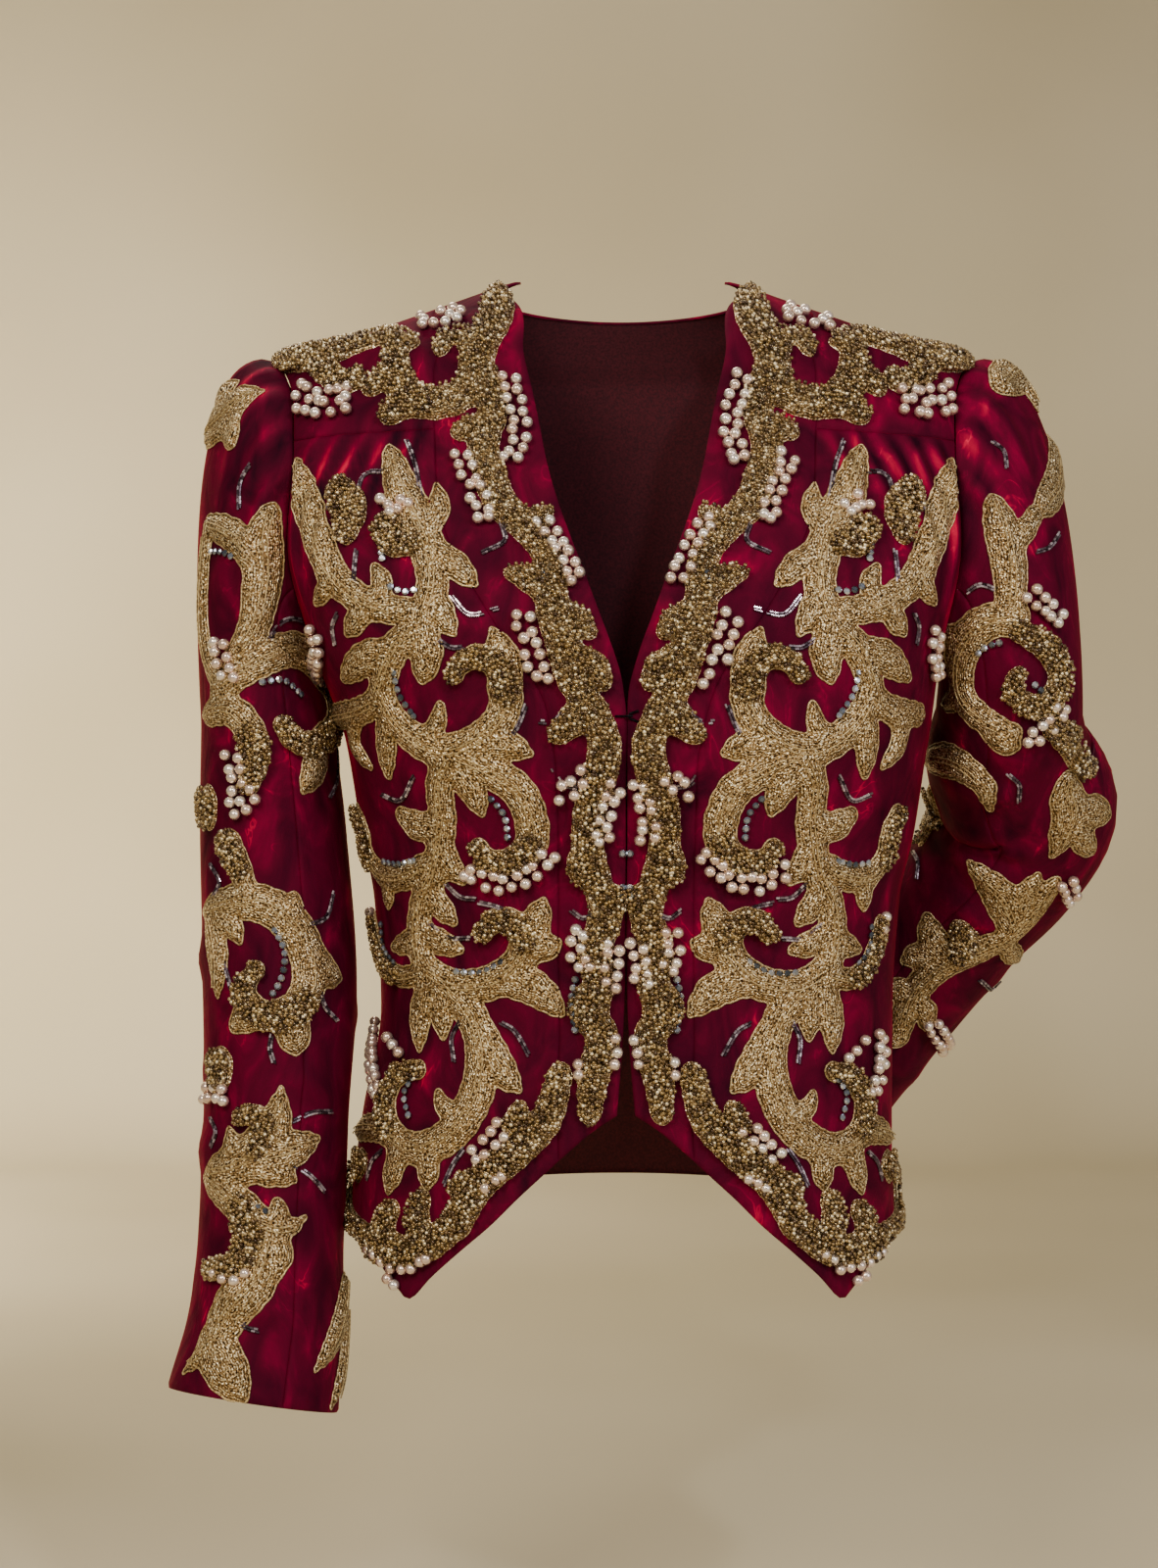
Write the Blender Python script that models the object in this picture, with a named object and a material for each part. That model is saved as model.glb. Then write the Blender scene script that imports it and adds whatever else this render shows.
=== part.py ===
"""An embroidered velvet jacket as it is worn: hollow, with a V neck hooked at its foot and two posed sleeves.

Every size is in millimetres until a mesh is made. +X is the wearer's left, +Y the wearer's back, +Z up.
The origin is the middle of the neck opening, level with the neck points.
Each cut piece is a wall of cloth. Its flat pattern has u to the right and v up as its outside is seen,
and a surface carries the pattern onto the body. Applique is raised in the wall's outer points only.
"""

import math
from collections import namedtuple

import bmesh
import bpy
import numpy as np
from mathutils import Vector, geometry

MM = 0.001
CLOTH = 2.0
SEAM_GAP = 0.3
ROUND = 130.0
MIDDLE_Y = 5.0
SHOULDER_TIP_Z = -51.0
SLEEVE_ROUND = 50.0
RIGHT = -1
LEFT = 1

# The torso, level by level: half width, depth before and behind the middle, sideways shift, squareness.
Level = namedtuple("Level", "z half_width front back shift square")
TORSO = [
    Level(8, 40, 20, 38, 0, 2.0),
    Level(0, 61, 30, 46, 0, 2.0),
    Level(-25.5, 132, 47, 66, 0, 2.1),
    Level(-38, 167, 55, 74, 0, 2.2),
    Level(SHOULDER_TIP_Z, 203, 62, 81, 0, 2.4),
    Level(-75, 204, 70, 87, 0, 2.9),
    Level(-103, 203, 78, 93, 0, 3.5),
    Level(-160, 199, 100, 100, 0, 3.7),
    Level(-220, 184, 119, 99, 2, 3.1),
    Level(-275, 171, 121, 94, 8, 2.6),
    Level(-327, 163, 113, 86, 8.5, 2.4),
    Level(-366, 155, 107, 79, 8, 2.4),
    Level(-430, 151, 103, 73, 8, 2.4),
    Level(-490, 156, 108, 86, 2.5, 2.4),
    Level(-531, 159, 112, 98, 0, 2.4),
    Level(-600, 164, 116, 110, -1, 2.4),
]

# Cut lines as they show from the front: height and distance from the centre front.
Edge = namedtuple("Edge", "z x")
NECK_EDGE = [
    Edge(-24, 59.5), Edge(-65, 55), Edge(-118, 44), Edge(-163, 30), Edge(-190, 20), Edge(-229, 6),
    Edge(-256, 0.5), Edge(-300, 0.4), Edge(-350, 0.4), Edge(-400, 0.4), Edge(-440, 1.6), Edge(-482, 5),
]
BAND_SHOULDER_Z = -11.7
YOKE_SEAM_Z = -98.0
BAND_SEAM = [
    Edge(-38, 104), Edge(-66, 109), Edge(YOKE_SEAM_Z, 108), Edge(-130, 106), Edge(-163, 99), Edge(-205, 76),
    Edge(-246, 49), Edge(-275, 41), Edge(-299, 38.5), Edge(-350, 37.5), Edge(-400, 37.5), Edge(-450, 37.5),
]
BAND_HEM = [Edge(-507, 37.5), Edge(-492, 20)]
FRONT_HEM = [
    Edge(-557, 152), Edge(-568, 142), Edge(-582, 129), Edge(-587, 121), Edge(-573, 108), Edge(-558, 92),
    Edge(-543, 75), Edge(-527, 59),
]
SIDE_HEM_Z = -556.0
BACK_HEM_Z = -545.0
BACK_NECK_Z = -14.0
SLEEVE_SEAM_STEP = 22.0
SEAM_TURN = 6.0

# The armhole as it shows from the side, by its angle from the top towards the front.
ARMHOLE_MIDDLE_Z = -144.5
ARMHOLE_HALF_HEIGHT = 93.5
ARMHOLE_FRONT = 55.0
ARMHOLE_BACK = 60.0
ARMHOLE_STEPS = 40
YOKE_SEAM_STEP = 7
FRONT_SLEEVE_SEAM_STEP = 13
BACK_SLEEVE_SEAM_STEP = 28

# Sleeve centre lines from the upper arm to the cuff, with the half width across and front to back.
Ring = namedtuple("Ring", "x y z across deep")
SLEEVE_RINGS = {
    RIGHT: [
        Ring(-211, 5, -262, 38.5, 59), Ring(-207, 2, -330, 43, 56), Ring(-202, -8, -414, 45, 52),
        Ring(-203, -20, -498, 42, 47), Ring(-204.5, -30, -560, 42, 45), Ring(-207, -38, -612, 45, 46),
        Ring(-213, -46, -652, 49.5, 48),
    ],
    LEFT: [
        Ring(231, 15, -257, 43, 57), Ring(234, 31, -284, 50, 53), Ring(250, 48, -312, 52, 50),
        Ring(238, 68, -343, 51, 49), Ring(211, 89, -378, 48, 48), Ring(172, 112, -433, 45, 46),
        Ring(134, 130, -488, 43.5, 45), Ring(97, 146, -543, 44, 44),
    ],
}

# How the sleeve head leaves the armhole: reach outwards, upwards and forwards, and pull at the upper arm.
Head = namedtuple("Head", "angle out up forward pull")
SLEEVE_HEAD = [
    Head(0, 185, 42, 0, 200), Head(45, 140, 10, 10, 170), Head(90, 75, -45, 12, 110),
    Head(135, 42, -12, 8, 55), Head(180, 25, 20, 0, 34),
]

# Soft folds: where each starts and ends on the pattern, its width and how far it stands out of the cloth.
Fold = namedtuple("Fold", "u1 v1 u2 v2 width height")

# Applique strokes: points along the middle, x and z from the front, of the wearer's right side. Then the
# widths at the start, at the belly and at the end, and the share of the length from which beads cover it.
Stroke = namedtuple("Stroke", "points start belly end beads")
FRONT_SCROLLS = [
    Stroke([
        (-188, -112), (-180, -135), (-173, -160), (-161, -185), (-140, -200), (-121, -204),
    ], 0, 19, 15, 1),
    Stroke([
        (-133, -108), (-127, -129), (-117, -152), (-109, -172), (-107, -191), (-113, -215),
    ], 0, 20, 16, 1),
    Stroke([(-111, -160), (-104, -146), (-106, -130)], 10, 12, 0, 1),
    Stroke([(-109, -169), (-96, -177), (-82, -191)], 12, 15, 0, 1),
    Stroke([(-108, -191), (-102, -204), (-94, -218)], 12, 14, 0, 1),
    Stroke([(-114, -210), (-110, -228), (-113, -244)], 13, 19, 0, 1),
    Stroke([(-161, -183), (-169, -191), (-175, -198)], 10, 12, 0, 1),
    Stroke([(-143, -198), (-149, -207), (-156, -216)], 12, 14, 0, 1),
    Stroke([(-139, -200), (-135, -189), (-140, -177)], 9, 12, 2, 1),
    Stroke([(-113, -213), (-125, -221), (-133, -236), (-138, -251)], 14, 16, 14, 1),
    Stroke([(-128, -226), (-142, -228), (-159, -240)], 13, 18, 3, 1),
    Stroke([
        (-137, -244), (-129, -262), (-114, -276), (-97, -281), (-81, -275), (-69, -263), (-65, -247),
        (-70, -234), (-80, -229), (-91, -233), (-95, -240),
    ], 13, 18, 9, 0.7),
    Stroke([(-68, -252), (-67, -231), (-74, -213)], 14, 18, 0, 1),
    Stroke([(-114, -275), (-105, -267), (-102, -254)], 10, 11, 3, 1),
    Stroke([(-134, -263), (-134, -280), (-133, -295)], 12, 15, 3, 1),
    Stroke([(-136, -252), (-150, -258), (-167, -260)], 13, 15, 12, 1),
    Stroke([(-152, -258), (-154, -275), (-143, -290)], 11, 14, 2, 1),
    Stroke([(-92, -281), (-70, -277), (-51, -283)], 16, 19, 0, 1),
    Stroke([
        (-97, -282), (-75, -292), (-59, -303), (-52, -320), (-53, -334), (-64, -342), (-76, -341),
        (-82, -333),
    ], 15, 18, 9, 0.68),
    Stroke([(-95, -288), (-85, -302), (-79, -317)], 14, 16, 0, 1),
    Stroke([
        (-94, -280), (-103, -299), (-102, -321), (-106, -346), (-115, -368), (-116, -392), (-110, -410),
    ], 18, 16, 17, 1),
    Stroke([(-103, -324), (-117, -322), (-126, -316)], 13, 17, 8, 1),
    Stroke([(-103, -333), (-97, -345), (-90, -354)], 11, 14, 2, 1),
    Stroke([(-111, -357), (-103, -368), (-95, -377)], 12, 14, 2, 1),
    Stroke([(-115, -382), (-103, -388), (-91, -392)], 12, 14, 2, 1),
    Stroke([(-114, -382), (-123, -389), (-133, -393)], 11, 13, 2, 1),
    Stroke([
        (-108, -343), (-124, -351), (-138, -351), (-147, -339), (-149, -326), (-154, -315),
    ], 13, 15, 11, 0.66),
    Stroke([(-136, -350), (-135, -360), (-135, -371)], 11, 13, 0, 1),
    Stroke([
        (-113, -403), (-96, -412), (-76, -410), (-61, -400), (-55, -386), (-62, -376), (-73, -375),
        (-80, -383),
    ], 15, 18, 9, 0.7),
    Stroke([(-58, -390), (-51, -378), (-45, -362)], 13, 17, 0, 1),
    Stroke([(-58, -390), (-47, -390), (-36, -386)], 13, 15, 0, 1),
    Stroke([(-73, -407), (-51, -412), (-34, -428)], 15, 19, 0, 1),
    Stroke([(-112, -405), (-127, -409), (-136, -403), (-142, -390), (-145, -377)], 12, 12, 8, 0.35),
    Stroke([
        (-107, -407), (-89, -424), (-80, -447), (-84, -474), (-97, -494), (-116, -504), (-131, -498),
        (-135, -481), (-128, -465), (-115, -460),
    ], 17, 19, 9, 0.76),
    Stroke([(-82, -436), (-71, -456), (-58, -470)], 15, 19, 0, 1),
    Stroke([(-112, -412), (-116, -432), (-116, -451)], 13, 16, 0, 1),
    Stroke([(-102, -415), (-103, -429), (-102, -443)], 12, 14, 0, 1),
    Stroke([(-126, -502), (-140, -496), (-156, -506)], 12, 15, 0, 1),
    Stroke([(-126, -503), (-131, -518), (-134, -531)], 13, 16, 0, 1),
    Stroke([(-111, -503), (-110, -514), (-111, -526)], 12, 14, 0, 1),
    Stroke([(-90, -485), (-102, -479), (-105, -471)], 10, 11, 3, 1),
]
HEM_BORDER = [
    Stroke([(-161, -132), (-154, -145), (-156, -162)], 10, 19, 9, 0),
    Stroke([(-135, -155), (-127, -164), (-116, -166)], 10, 19, 9, 0),
    Stroke([(-159, -530), (-160, -550), (-142, -560), (-115, -559), (-92, -541)], 15, 19, 16, 0),
    Stroke([(-95, -545), (-81, -520), (-60, -501), (-44, -484), (-36, -458)], 16, 19, 13, 0),
    Stroke([(-134, -557), (-135, -547), (-130, -537)], 12, 15, 9, 0),
    Stroke([(-112, -555), (-116, -541), (-113, -528)], 12, 15, 9, 0),
    Stroke([(-87, -534), (-92, -525), (-90, -517)], 11, 13, 8, 0),
    Stroke([(-56, -496), (-62, -487), (-58, -477)], 11, 13, 8, 0),
    Stroke([(-154, -526), (-150, -517), (-153, -513)], 10, 12, 7, 0),
]
BAND_VINE = [
    Stroke([(-69, -10), (-74, -29), (-82, -47), (-84, -63), (-76, -77), (-75, -95)], 12, 21, 15, 0),
    Stroke([
        (-75, -92), (-80, -107), (-76, -126), (-69, -143), (-55, -157), (-45, -170), (-39, -189),
    ], 15, 18, 14, 0),
    Stroke([(-76, -104), (-86, -98), (-95, -101)], 12, 16, 9, 0),
    Stroke([(-49, -162), (-49, -153), (-43, -146)], 10, 13, 7, 0),
    Stroke([(-41, -185), (-41, -199), (-35, -220), (-29, -242), (-18, -260)], 14, 19, 15, 0),
    Stroke([(-42, -195), (-55, -185), (-67, -182)], 11, 16, 3, 0),
    Stroke([(-37, -203), (-26, -210), (-18, -219)], 11, 15, 2, 0),
    Stroke([(-28, -242), (-25, -231), (-17, -234), (-12, -245)], 11, 14, 9, 0),
    Stroke([(-21, -254), (-30, -265), (-39, -273)], 12, 17, 10, 0),
    Stroke([(-19, -257), (-12, -278), (-15, -296), (-20, -314), (-21, -332), (-16, -352)], 15, 18, 15, 0),
    Stroke([(-18, -349), (-11, -371), (-17, -390), (-15, -410), (-21, -432)], 14, 18, 15, 0),
    Stroke([(-21, -335), (-27, -343), (-24, -353)], 10, 13, 7, 0),
    Stroke([(-14, -363), (-5, -360), (-3, -367)], 9, 12, 6, 0),
    Stroke([(-19, -424), (-13, -442), (-18, -460), (-20, -483)], 14, 18, 11, 0),
    Stroke([(-18, -413), (-25, -419), (-27, -429)], 10, 13, 7, 0),
]
YOKE_SCROLL = [
    Stroke([(-199, -48), (-176, -50), (-156, -45), (-135, -41), (-122, -46)], 11, 21, 12, 0),
    Stroke([(-179, -53), (-168, -65), (-155, -70), (-152, -63)], 12, 15, 8, 0),
    Stroke([
        (-129, -47), (-130, -65), (-121, -80), (-106, -83), (-90, -76), (-84, -59), (-89, -44), (-100, -43),
        (-105, -52),
    ], 13, 20, 9, 0),
    Stroke([(-120, -81), (-129, -86), (-136, -92)], 14, 18, 6, 0),
    Stroke([(-131, -64), (-140, -69), (-147, -76)], 11, 15, 5, 0),
]

# Sleeve strokes have the angle round the arm in degrees in place of x, and the height on the pattern as z.
SLEEVE_VINE = [
    Stroke([(1, 151), (23, 163), (37, 191)], 10, 27, 0, 1),
    Stroke([(21, 166), (34, 154), (42, 143)], 16, 19, 5, 1),
    Stroke([(20, 161), (11, 178), (16, 191)], 12, 16, 0, 1),
    Stroke([(82, 121), (88, 98), (99, 72), (95, 50), (74, 32)], 0, 21, 15, 1),
    Stroke([(88, 80), (65, 92), (32, 102)], 12, 18, 10, 1),
    Stroke([(33, 99), (32, 78), (35, 52), (48, 30), (68, 17)], 12, 13, 13, 1),
    Stroke([
        (54, 16), (83, 26), (114, 32), (146, 33), (178, 27), (175, 1), (142, -16), (120, -15), (111, -5),
    ], 14, 20, 9, 0.66),
    Stroke([(151, -11), (140, -28), (123, -46)], 15, 20, 0, 1),
    Stroke([(39, 4), (69, 4), (85, -9), (89, -25), (82, -41)], 12, 17, 9, 0.6),
    Stroke([(38, -43), (40, -51), (41, -60)], 10, 20, 10, 0),
    Stroke([(75, -110), (72, -92), (63, -73)], 14, 13, 15, 0.5),
    Stroke([
        (36, -113), (74, -110), (99, -118), (116, -137), (119, -158), (106, -174), (85, -176), (71, -162),
        (81, -149),
    ], 15, 21, 9, 0.66),
    Stroke([(99, -121), (107, -116), (111, -107)], 12, 13, 0, 1),
    Stroke([(116, -138), (131, -151), (148, -155)], 15, 19, 0, 1),
    Stroke([(102, -173), (108, -186), (110, -198)], 15, 20, 0, 1),
    Stroke([(85, -176), (73, -177), (61, -184)], 13, 17, 2, 1),
    Stroke([(40, -115), (46, -138), (46, -166)], 14, 18, 0, 1),
    Stroke([(47, -118), (63, -125), (69, -135)], 11, 13, 0, 1),
    Stroke([(47, -200), (49, -208), (47, -216)], 10, 19, 10, 0),
    Stroke([(40, -267), (74, -260), (95, -242), (101, -216)], 12, 25, 0, 1),
    Stroke([(71, -261), (104, -254), (134, -245)], 15, 22, 0, 1),
    Stroke([(74, -263), (99, -266), (115, -270)], 12, 16, 0, 1),
    Stroke([(52, -264), (63, -253), (59, -240)], 11, 13, 0, 1),
    Stroke([(83, -255), (89, -240), (78, -232), (69, -236)], 10, 13, 9, 0),
    Stroke([(37, -269), (67, -282), (90, -295), (107, -297), (125, -289)], 13, 19, 0, 1),
    Stroke([(95, -296), (104, -309), (104, -323)], 13, 15, 0, 1),
    Stroke([(93, -295), (102, -290), (100, -281)], 9, 12, 3, 1),
    Stroke([(61, -276), (76, -290), (79, -306), (68, -317), (49, -320)], 10, 15, 11, 0.2),
    Stroke([(96, -297), (88, -322), (70, -343), (58, -368), (38, -386)], 8, 25, 0, 1),
    Stroke([(56, -362), (74, -378), (90, -392)], 15, 26, 5, 1),
    Stroke([(180, -323), (167, -345), (137, -373)], 6, 18, 0, 1),
    Stroke([(180, -338), (180, -365), (158, -393)], 8, 15, 0, 1),
]
SLEEVE_VINE_LEFT = [
    Stroke([(28, 200), (4, 194), (6, 166)], 10, 24, 2, 1),
    Stroke([(6, 190), (-8, 186), (-20, 176)], 12, 16, 0, 1),
    Stroke([(42, 125), (14, 130), (-12, 148)], 12, 21, 2, 1),
    Stroke([(72, 146), (74, 122), (78, 102), (89, 78)], 0, 21, 16, 1),
    Stroke([(75, 114), (62, 118), (48, 124)], 10, 13, 10, 1),
    Stroke([(80, 81), (111, 75), (135, 53), (140, 32), (120, 25), (96, 21)], 15, 21, 10, 1),
    Stroke([(135, 51), (134, 64), (133, 78)], 12, 15, 0, 1),
    Stroke([(137, 33), (152, 22), (169, 12)], 11, 13, 0, 1),
    Stroke([(115, 25), (105, 16), (93, 12)], 14, 17, 0, 1),
    Stroke([(85, 76), (63, 63), (54, 45), (74, 35), (95, 44), (88, 54)], 11, 16, 9, 0),
    Stroke([(67, 23), (45, -2), (32, -45)], 12, 18, 7, 0),
    Stroke([(55, -17), (63, -52), (75, -61), (85, -72)], 4, 24, 2, 1),
    Stroke([(67, -57), (52, -60), (34, -66)], 14, 20, 0, 1),
    Stroke([(69, -61), (60, -69), (50, -74)], 12, 15, 0, 1),
    Stroke([(75, -87), (76, -121), (82, -148), (95, -176), (97, -206), (85, -235)], 10, 18, 14, 1),
    Stroke([(78, -124), (105, -107), (133, -99)], 14, 22, 0, 1),
    Stroke([(79, -122), (86, -104), (89, -83)], 13, 18, 0, 1),
    Stroke([(75, -136), (42, -149), (29, -153)], 11, 13, 0, 1),
    Stroke([(93, -171), (114, -164), (129, -154)], 13, 19, 4, 1),
    Stroke([(95, -176), (112, -179), (120, -191)], 12, 16, 0, 1),
    Stroke([(92, -164), (98, -148), (110, -145)], 10, 16, 9, 0),
    Stroke([(98, -205), (80, -210), (67, -221)], 11, 14, 0, 1),
    Stroke([(98, -207), (111, -207), (116, -212)], 11, 14, 0, 1),
    Stroke([(175, -23), (136, -11), (115, -18), (111, -32)], 8, 19, 2, 1),
    Stroke([(176, -34), (182, -62), (188, -92), (182, -130)], 10, 17, 9, 0),
]
GOLD_LIFT = 2.6
BEADED_LIFT = 3.2
STROKE_STEP = 2.5
OUTLINE_TURN = 34.0
OUTLINE_STEP = 14.0
LIFT_SLOPE = 3.0
EDGE_FADE = 3.0


def through(at, values, level_ends=True):
    """A cubic through values that never overshoots them; its slope is the harmonic mean of those beside it."""
    at = np.array(at, float)
    values = np.array(values, float)
    order = np.argsort(at)
    at = at[order]
    values = values[order]
    step = np.diff(at)
    rise = np.diff(values) / step
    slope = np.zeros(len(at))
    slope[0] = rise[0]
    slope[-1] = rise[-1]
    if level_ends:
        same = rise[:-1] * rise[1:] > 0
        slope[1:-1] = np.where(same, 2 * rise[:-1] * rise[1:] / np.where(same, rise[:-1] + rise[1:], 1), 0)
    else:
        slope[1:-1] = (rise[:-1] * step[1:] + rise[1:] * step[:-1]) / (step[:-1] + step[1:])

    def read(x):
        x = np.asarray(x, float)
        i = np.clip(np.searchsorted(at, x, side="right") - 1, 0, len(at) - 2)
        t = np.clip((x - at[i]) / step[i], 0, 1)
        rest = 1 - t
        ends = values[i] * (1 + 2 * t) * rest**2 + values[i + 1] * t**2 * (3 - 2 * t)
        return ends + step[i] * (slope[i] * t * rest**2 - slope[i + 1] * t**2 * rest)

    return read


def unit(vectors):
    """Vectors of length one."""
    return vectors / np.maximum(np.linalg.norm(vectors, axis=-1, keepdims=True), 1e-12)


def soft_step(t):
    """0 below 0, 1 above 1, and smooth between them."""
    t = np.clip(t, 0, 1)
    return t * t * (3 - 2 * t)


class Surface:
    """Carries a flat pattern (u, v) onto the body; folds and applique stand on its normals."""

    def __init__(self, folds=()):
        self.folds = list(folds)

    def normal(self, u, v):
        """The outward normal, from the differences across a small step each way."""
        small = 0.4
        along_u = self.base(u + small, v) - self.base(u - small, v)
        along_v = self.base(u, v + small) - self.base(u, v - small)
        return unit(np.cross(along_u, along_v))

    def fold(self, u, v):
        """Each fold is a soft ridge that tapers to its ends: its height times a bell across and along."""
        total = np.zeros(np.shape(u))
        for f in self.folds:
            run = np.array([f.u2 - f.u1, f.v2 - f.v1])
            length = np.hypot(*run)
            t = ((u - f.u1) * run[0] + (v - f.v1) * run[1]) / length**2
            off = ((u - f.u1) * run[1] - (v - f.v1) * run[0]) / length
            along = soft_step(t * 4) * soft_step((1 - t) * 1.6)
            total = total + f.height * along * np.exp(-((off / f.width) ** 2))
        return total

    def raised(self, u, v, height=0.0):
        """The point on the cloth's outside, moved out by its fold and the height."""
        u = np.asarray(u, float)
        v = np.asarray(v, float)
        out = self.fold(u, v) + height
        return self.base(u, v) + self.normal(u, v) * np.asarray(out)[..., None]


class Torso(Surface):
    """Rounded-square rings: u is the angle from the centre front times ROUND, v is the height."""

    read = {
        column: through([row.z for row in TORSO], [getattr(row, column) for row in TORSO])
        for column in ("half_width", "front", "back", "shift", "square")
    }

    def base(self, u, v):
        angle = np.asarray(u, float) / ROUND
        sine = np.sin(angle)
        cosine = np.cos(angle)
        depth = np.where(cosine > 0, self.read["front"](v), self.read["back"](v))
        square = self.read["square"](v)
        inside = np.abs(sine / self.read["half_width"](v)) ** square + np.abs(cosine / depth) ** square
        radius = inside ** (-1 / square)
        height = np.asarray(v, float) + 0 * radius
        return np.stack([self.read["shift"](v) + radius * sine, MIDDLE_Y - radius * cosine, height], axis=-1)

    def seen_from_front(self, x, z):
        """The pattern point that shows at x and z from the front."""
        x = x - float(self.read["shift"](z))
        square = float(self.read["square"](z))
        share = min(abs(x) / float(self.read["half_width"](z)), 1)
        y = float(self.read["front"](z)) * (1 - share**square) ** (1 / square)
        return math.atan2(x, y) * ROUND, z

    def seen_from_side(self, side, y, z):
        """The pattern point that shows at y and z from one side."""
        y = y - MIDDLE_Y
        square = float(self.read["square"](z))
        depth = float(self.read["front" if y < 0 else "back"](z))
        share = min(abs(y) / depth, 1)
        x = float(self.read["half_width"](z)) * (1 - share**square) ** (1 / square)
        return side * math.atan2(x, -y) * ROUND, z

    def place(self, x, z):
        return self.seen_from_front(x, z)


def armhole(torso, side, step):
    """A pattern point on the armhole, an egg seen from the side, so many steps from its top to the front."""
    angle = 2 * math.pi * step / ARMHOLE_STEPS
    half = ARMHOLE_FRONT if math.sin(angle) > 0 else ARMHOLE_BACK
    y = MIDDLE_Y - half * math.sin(angle)
    return torso.seen_from_side(side, y, ARMHOLE_MIDDLE_Z + ARMHOLE_HALF_HEIGHT * math.cos(angle))


class Sleeve(Surface):
    """A sleeve head from the armhole to the upper arm, above v = 0, and a tube of oval rings below it.

    u is the angle from the outer line towards the front times SLEEVE_ROUND, so that it runs to the right as
    the outside is seen. The head is a cubic from each armhole point, leaving it by the table's reach, to the
    first ring, which it meets along the arm.
    """

    def __init__(self, torso, side, folds=()):
        super().__init__(folds)
        self.side = side
        rings = SLEEVE_RINGS[side]
        centres = np.array([(r.x, r.y, r.z) for r in rings], float)
        run = np.concatenate([[0], np.cumsum(np.linalg.norm(np.diff(centres, axis=0), axis=1))])
        self.length = float(run[-1])
        self.centre = [through(run, centres[:, k], level_ends=False) for k in range(3)]
        self.across = through(run, [r.across for r in rings])
        self.deep = through(run, [r.deep for r in rings])
        steps = np.arange(-1, ARMHOLE_STEPS + 2)
        spots = np.array([armhole(torso, side, s % ARMHOLE_STEPS) for s in steps])
        self.hole_angle = steps * 2 * math.pi / ARMHOLE_STEPS
        self.hole = torso.base(spots[:, 0], spots[:, 1])
        self.head = {
            column: through([row.angle for row in SLEEVE_HEAD], [getattr(row, column) for row in SLEEVE_HEAD])
            for column in ("out", "up", "forward", "pull")
        }
        fine = np.radians(np.arange(0, 361, 3))
        share = np.linspace(0, 1, 33)
        lines = self.head_point(fine[:, None], share[None, :])
        lengths = np.linalg.norm(np.diff(lines, axis=1), axis=2).sum(axis=1)
        self.fine = fine
        self.head_lengths = lengths
        self.seam_normal = self.mitre(torso.normal(spots[:, 0], spots[:, 1]))

    def angle(self, u):
        return np.mod(-self.side * np.asarray(u, float) / SLEEVE_ROUND, 2 * math.pi)

    def head_length(self, angle):
        return np.interp(np.mod(angle, 2 * math.pi), self.fine, self.head_lengths)

    def ring(self, angle, along):
        """A point of the oval ring at a distance down the centre line."""
        along = np.asarray(along, float)
        centre = np.stack([c(along) for c in self.centre], axis=-1)
        small = 2.0
        ahead = np.stack([c(np.minimum(along + small, self.length)) for c in self.centre], axis=-1)
        behind = np.stack([c(np.maximum(along - small, 0)) for c in self.centre], axis=-1)
        down = unit(ahead - behind)
        outward = np.zeros_like(down)
        outward[..., 0] = self.side
        outward = unit(outward - down * (outward * down).sum(axis=-1, keepdims=True))
        forward = -self.side * np.cross(outward, down)
        across = self.across(along)[..., None] * np.cos(angle)[..., None]
        deep = self.deep(along)[..., None] * np.sin(angle)[..., None]
        return centre + outward * across + forward * deep, down

    def head_point(self, angle, share):
        """A cubic from the armhole (share 0) to the first ring (share 1)."""
        angle, share = np.broadcast_arrays(np.mod(angle, 2 * math.pi), share)
        start = np.stack([np.interp(angle, self.hole_angle, self.hole[:, k]) for k in range(3)], axis=-1)
        turn = np.degrees(np.where(angle > math.pi, 2 * math.pi - angle, angle))
        front = np.where(angle > math.pi, -1.0, 1.0)
        leave = np.stack(
            [self.side * self.head["out"](turn), -front * self.head["forward"](turn), self.head["up"](turn)],
            axis=-1,
        )
        end, down = self.ring(angle, np.zeros(angle.shape))
        meet = down * self.head["pull"](turn)[..., None]
        s = share[..., None]
        r = 1 - s
        ends = start * (1 + 2 * s) * r**2 + end * s**2 * (3 - 2 * s)
        return ends + leave * s * r**2 - meet * s**2 * r

    def base(self, u, v):
        u, v = np.broadcast_arrays(np.asarray(u, float), np.asarray(v, float))
        angle = self.angle(u)
        share = np.clip(1 - v / self.head_length(angle), 0, 1)
        above = self.head_point(angle, share)
        below, down = self.ring(angle, np.clip(-v, 0, self.length))
        past = np.maximum(-v - self.length, 0)[..., None]
        return np.where((v > 0)[..., None], above, below + down * past)

    def own_normal(self, u, v):
        """The normal of the sleeve's own cloth, read just below the armhole seam at its edge."""
        small = 0.4
        low = np.minimum(v, self.head_length(self.angle(u)) - 1.2)
        along_u = self.base(u + small, low) - self.base(u - small, low)
        along_v = self.base(u, low + small) - self.base(u, low - small)
        return unit(np.cross(along_u, along_v))

    def mitre(self, body_normal):
        """The direction of the sleeve's cut edge at the armhole.

        It is half way between both cloths where they meet in a hollow, and the body's own where the sleeve
        falls away from it, so that neither edge enters the other.
        """
        along = unit(np.roll(self.hole, -1, axis=0) - np.roll(self.hole, 1, axis=0))
        along[0] = unit(self.hole[1] - self.hole[0])
        along[-1] = unit(self.hole[-1] - self.hole[-2])
        inward = unit(np.cross(body_normal, along))
        middle = self.hole[1:-2].mean(axis=0)
        inward *= np.sign(((middle - self.hole) * inward).sum(axis=1))[:, None]
        u = -self.side * self.hole_angle * SLEEVE_ROUND
        own = self.own_normal(u, self.head_length(self.hole_angle))
        falls = np.maximum((own * inward).sum(axis=1), 0)[:, None]
        return unit(body_normal + own - inward * falls)

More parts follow.
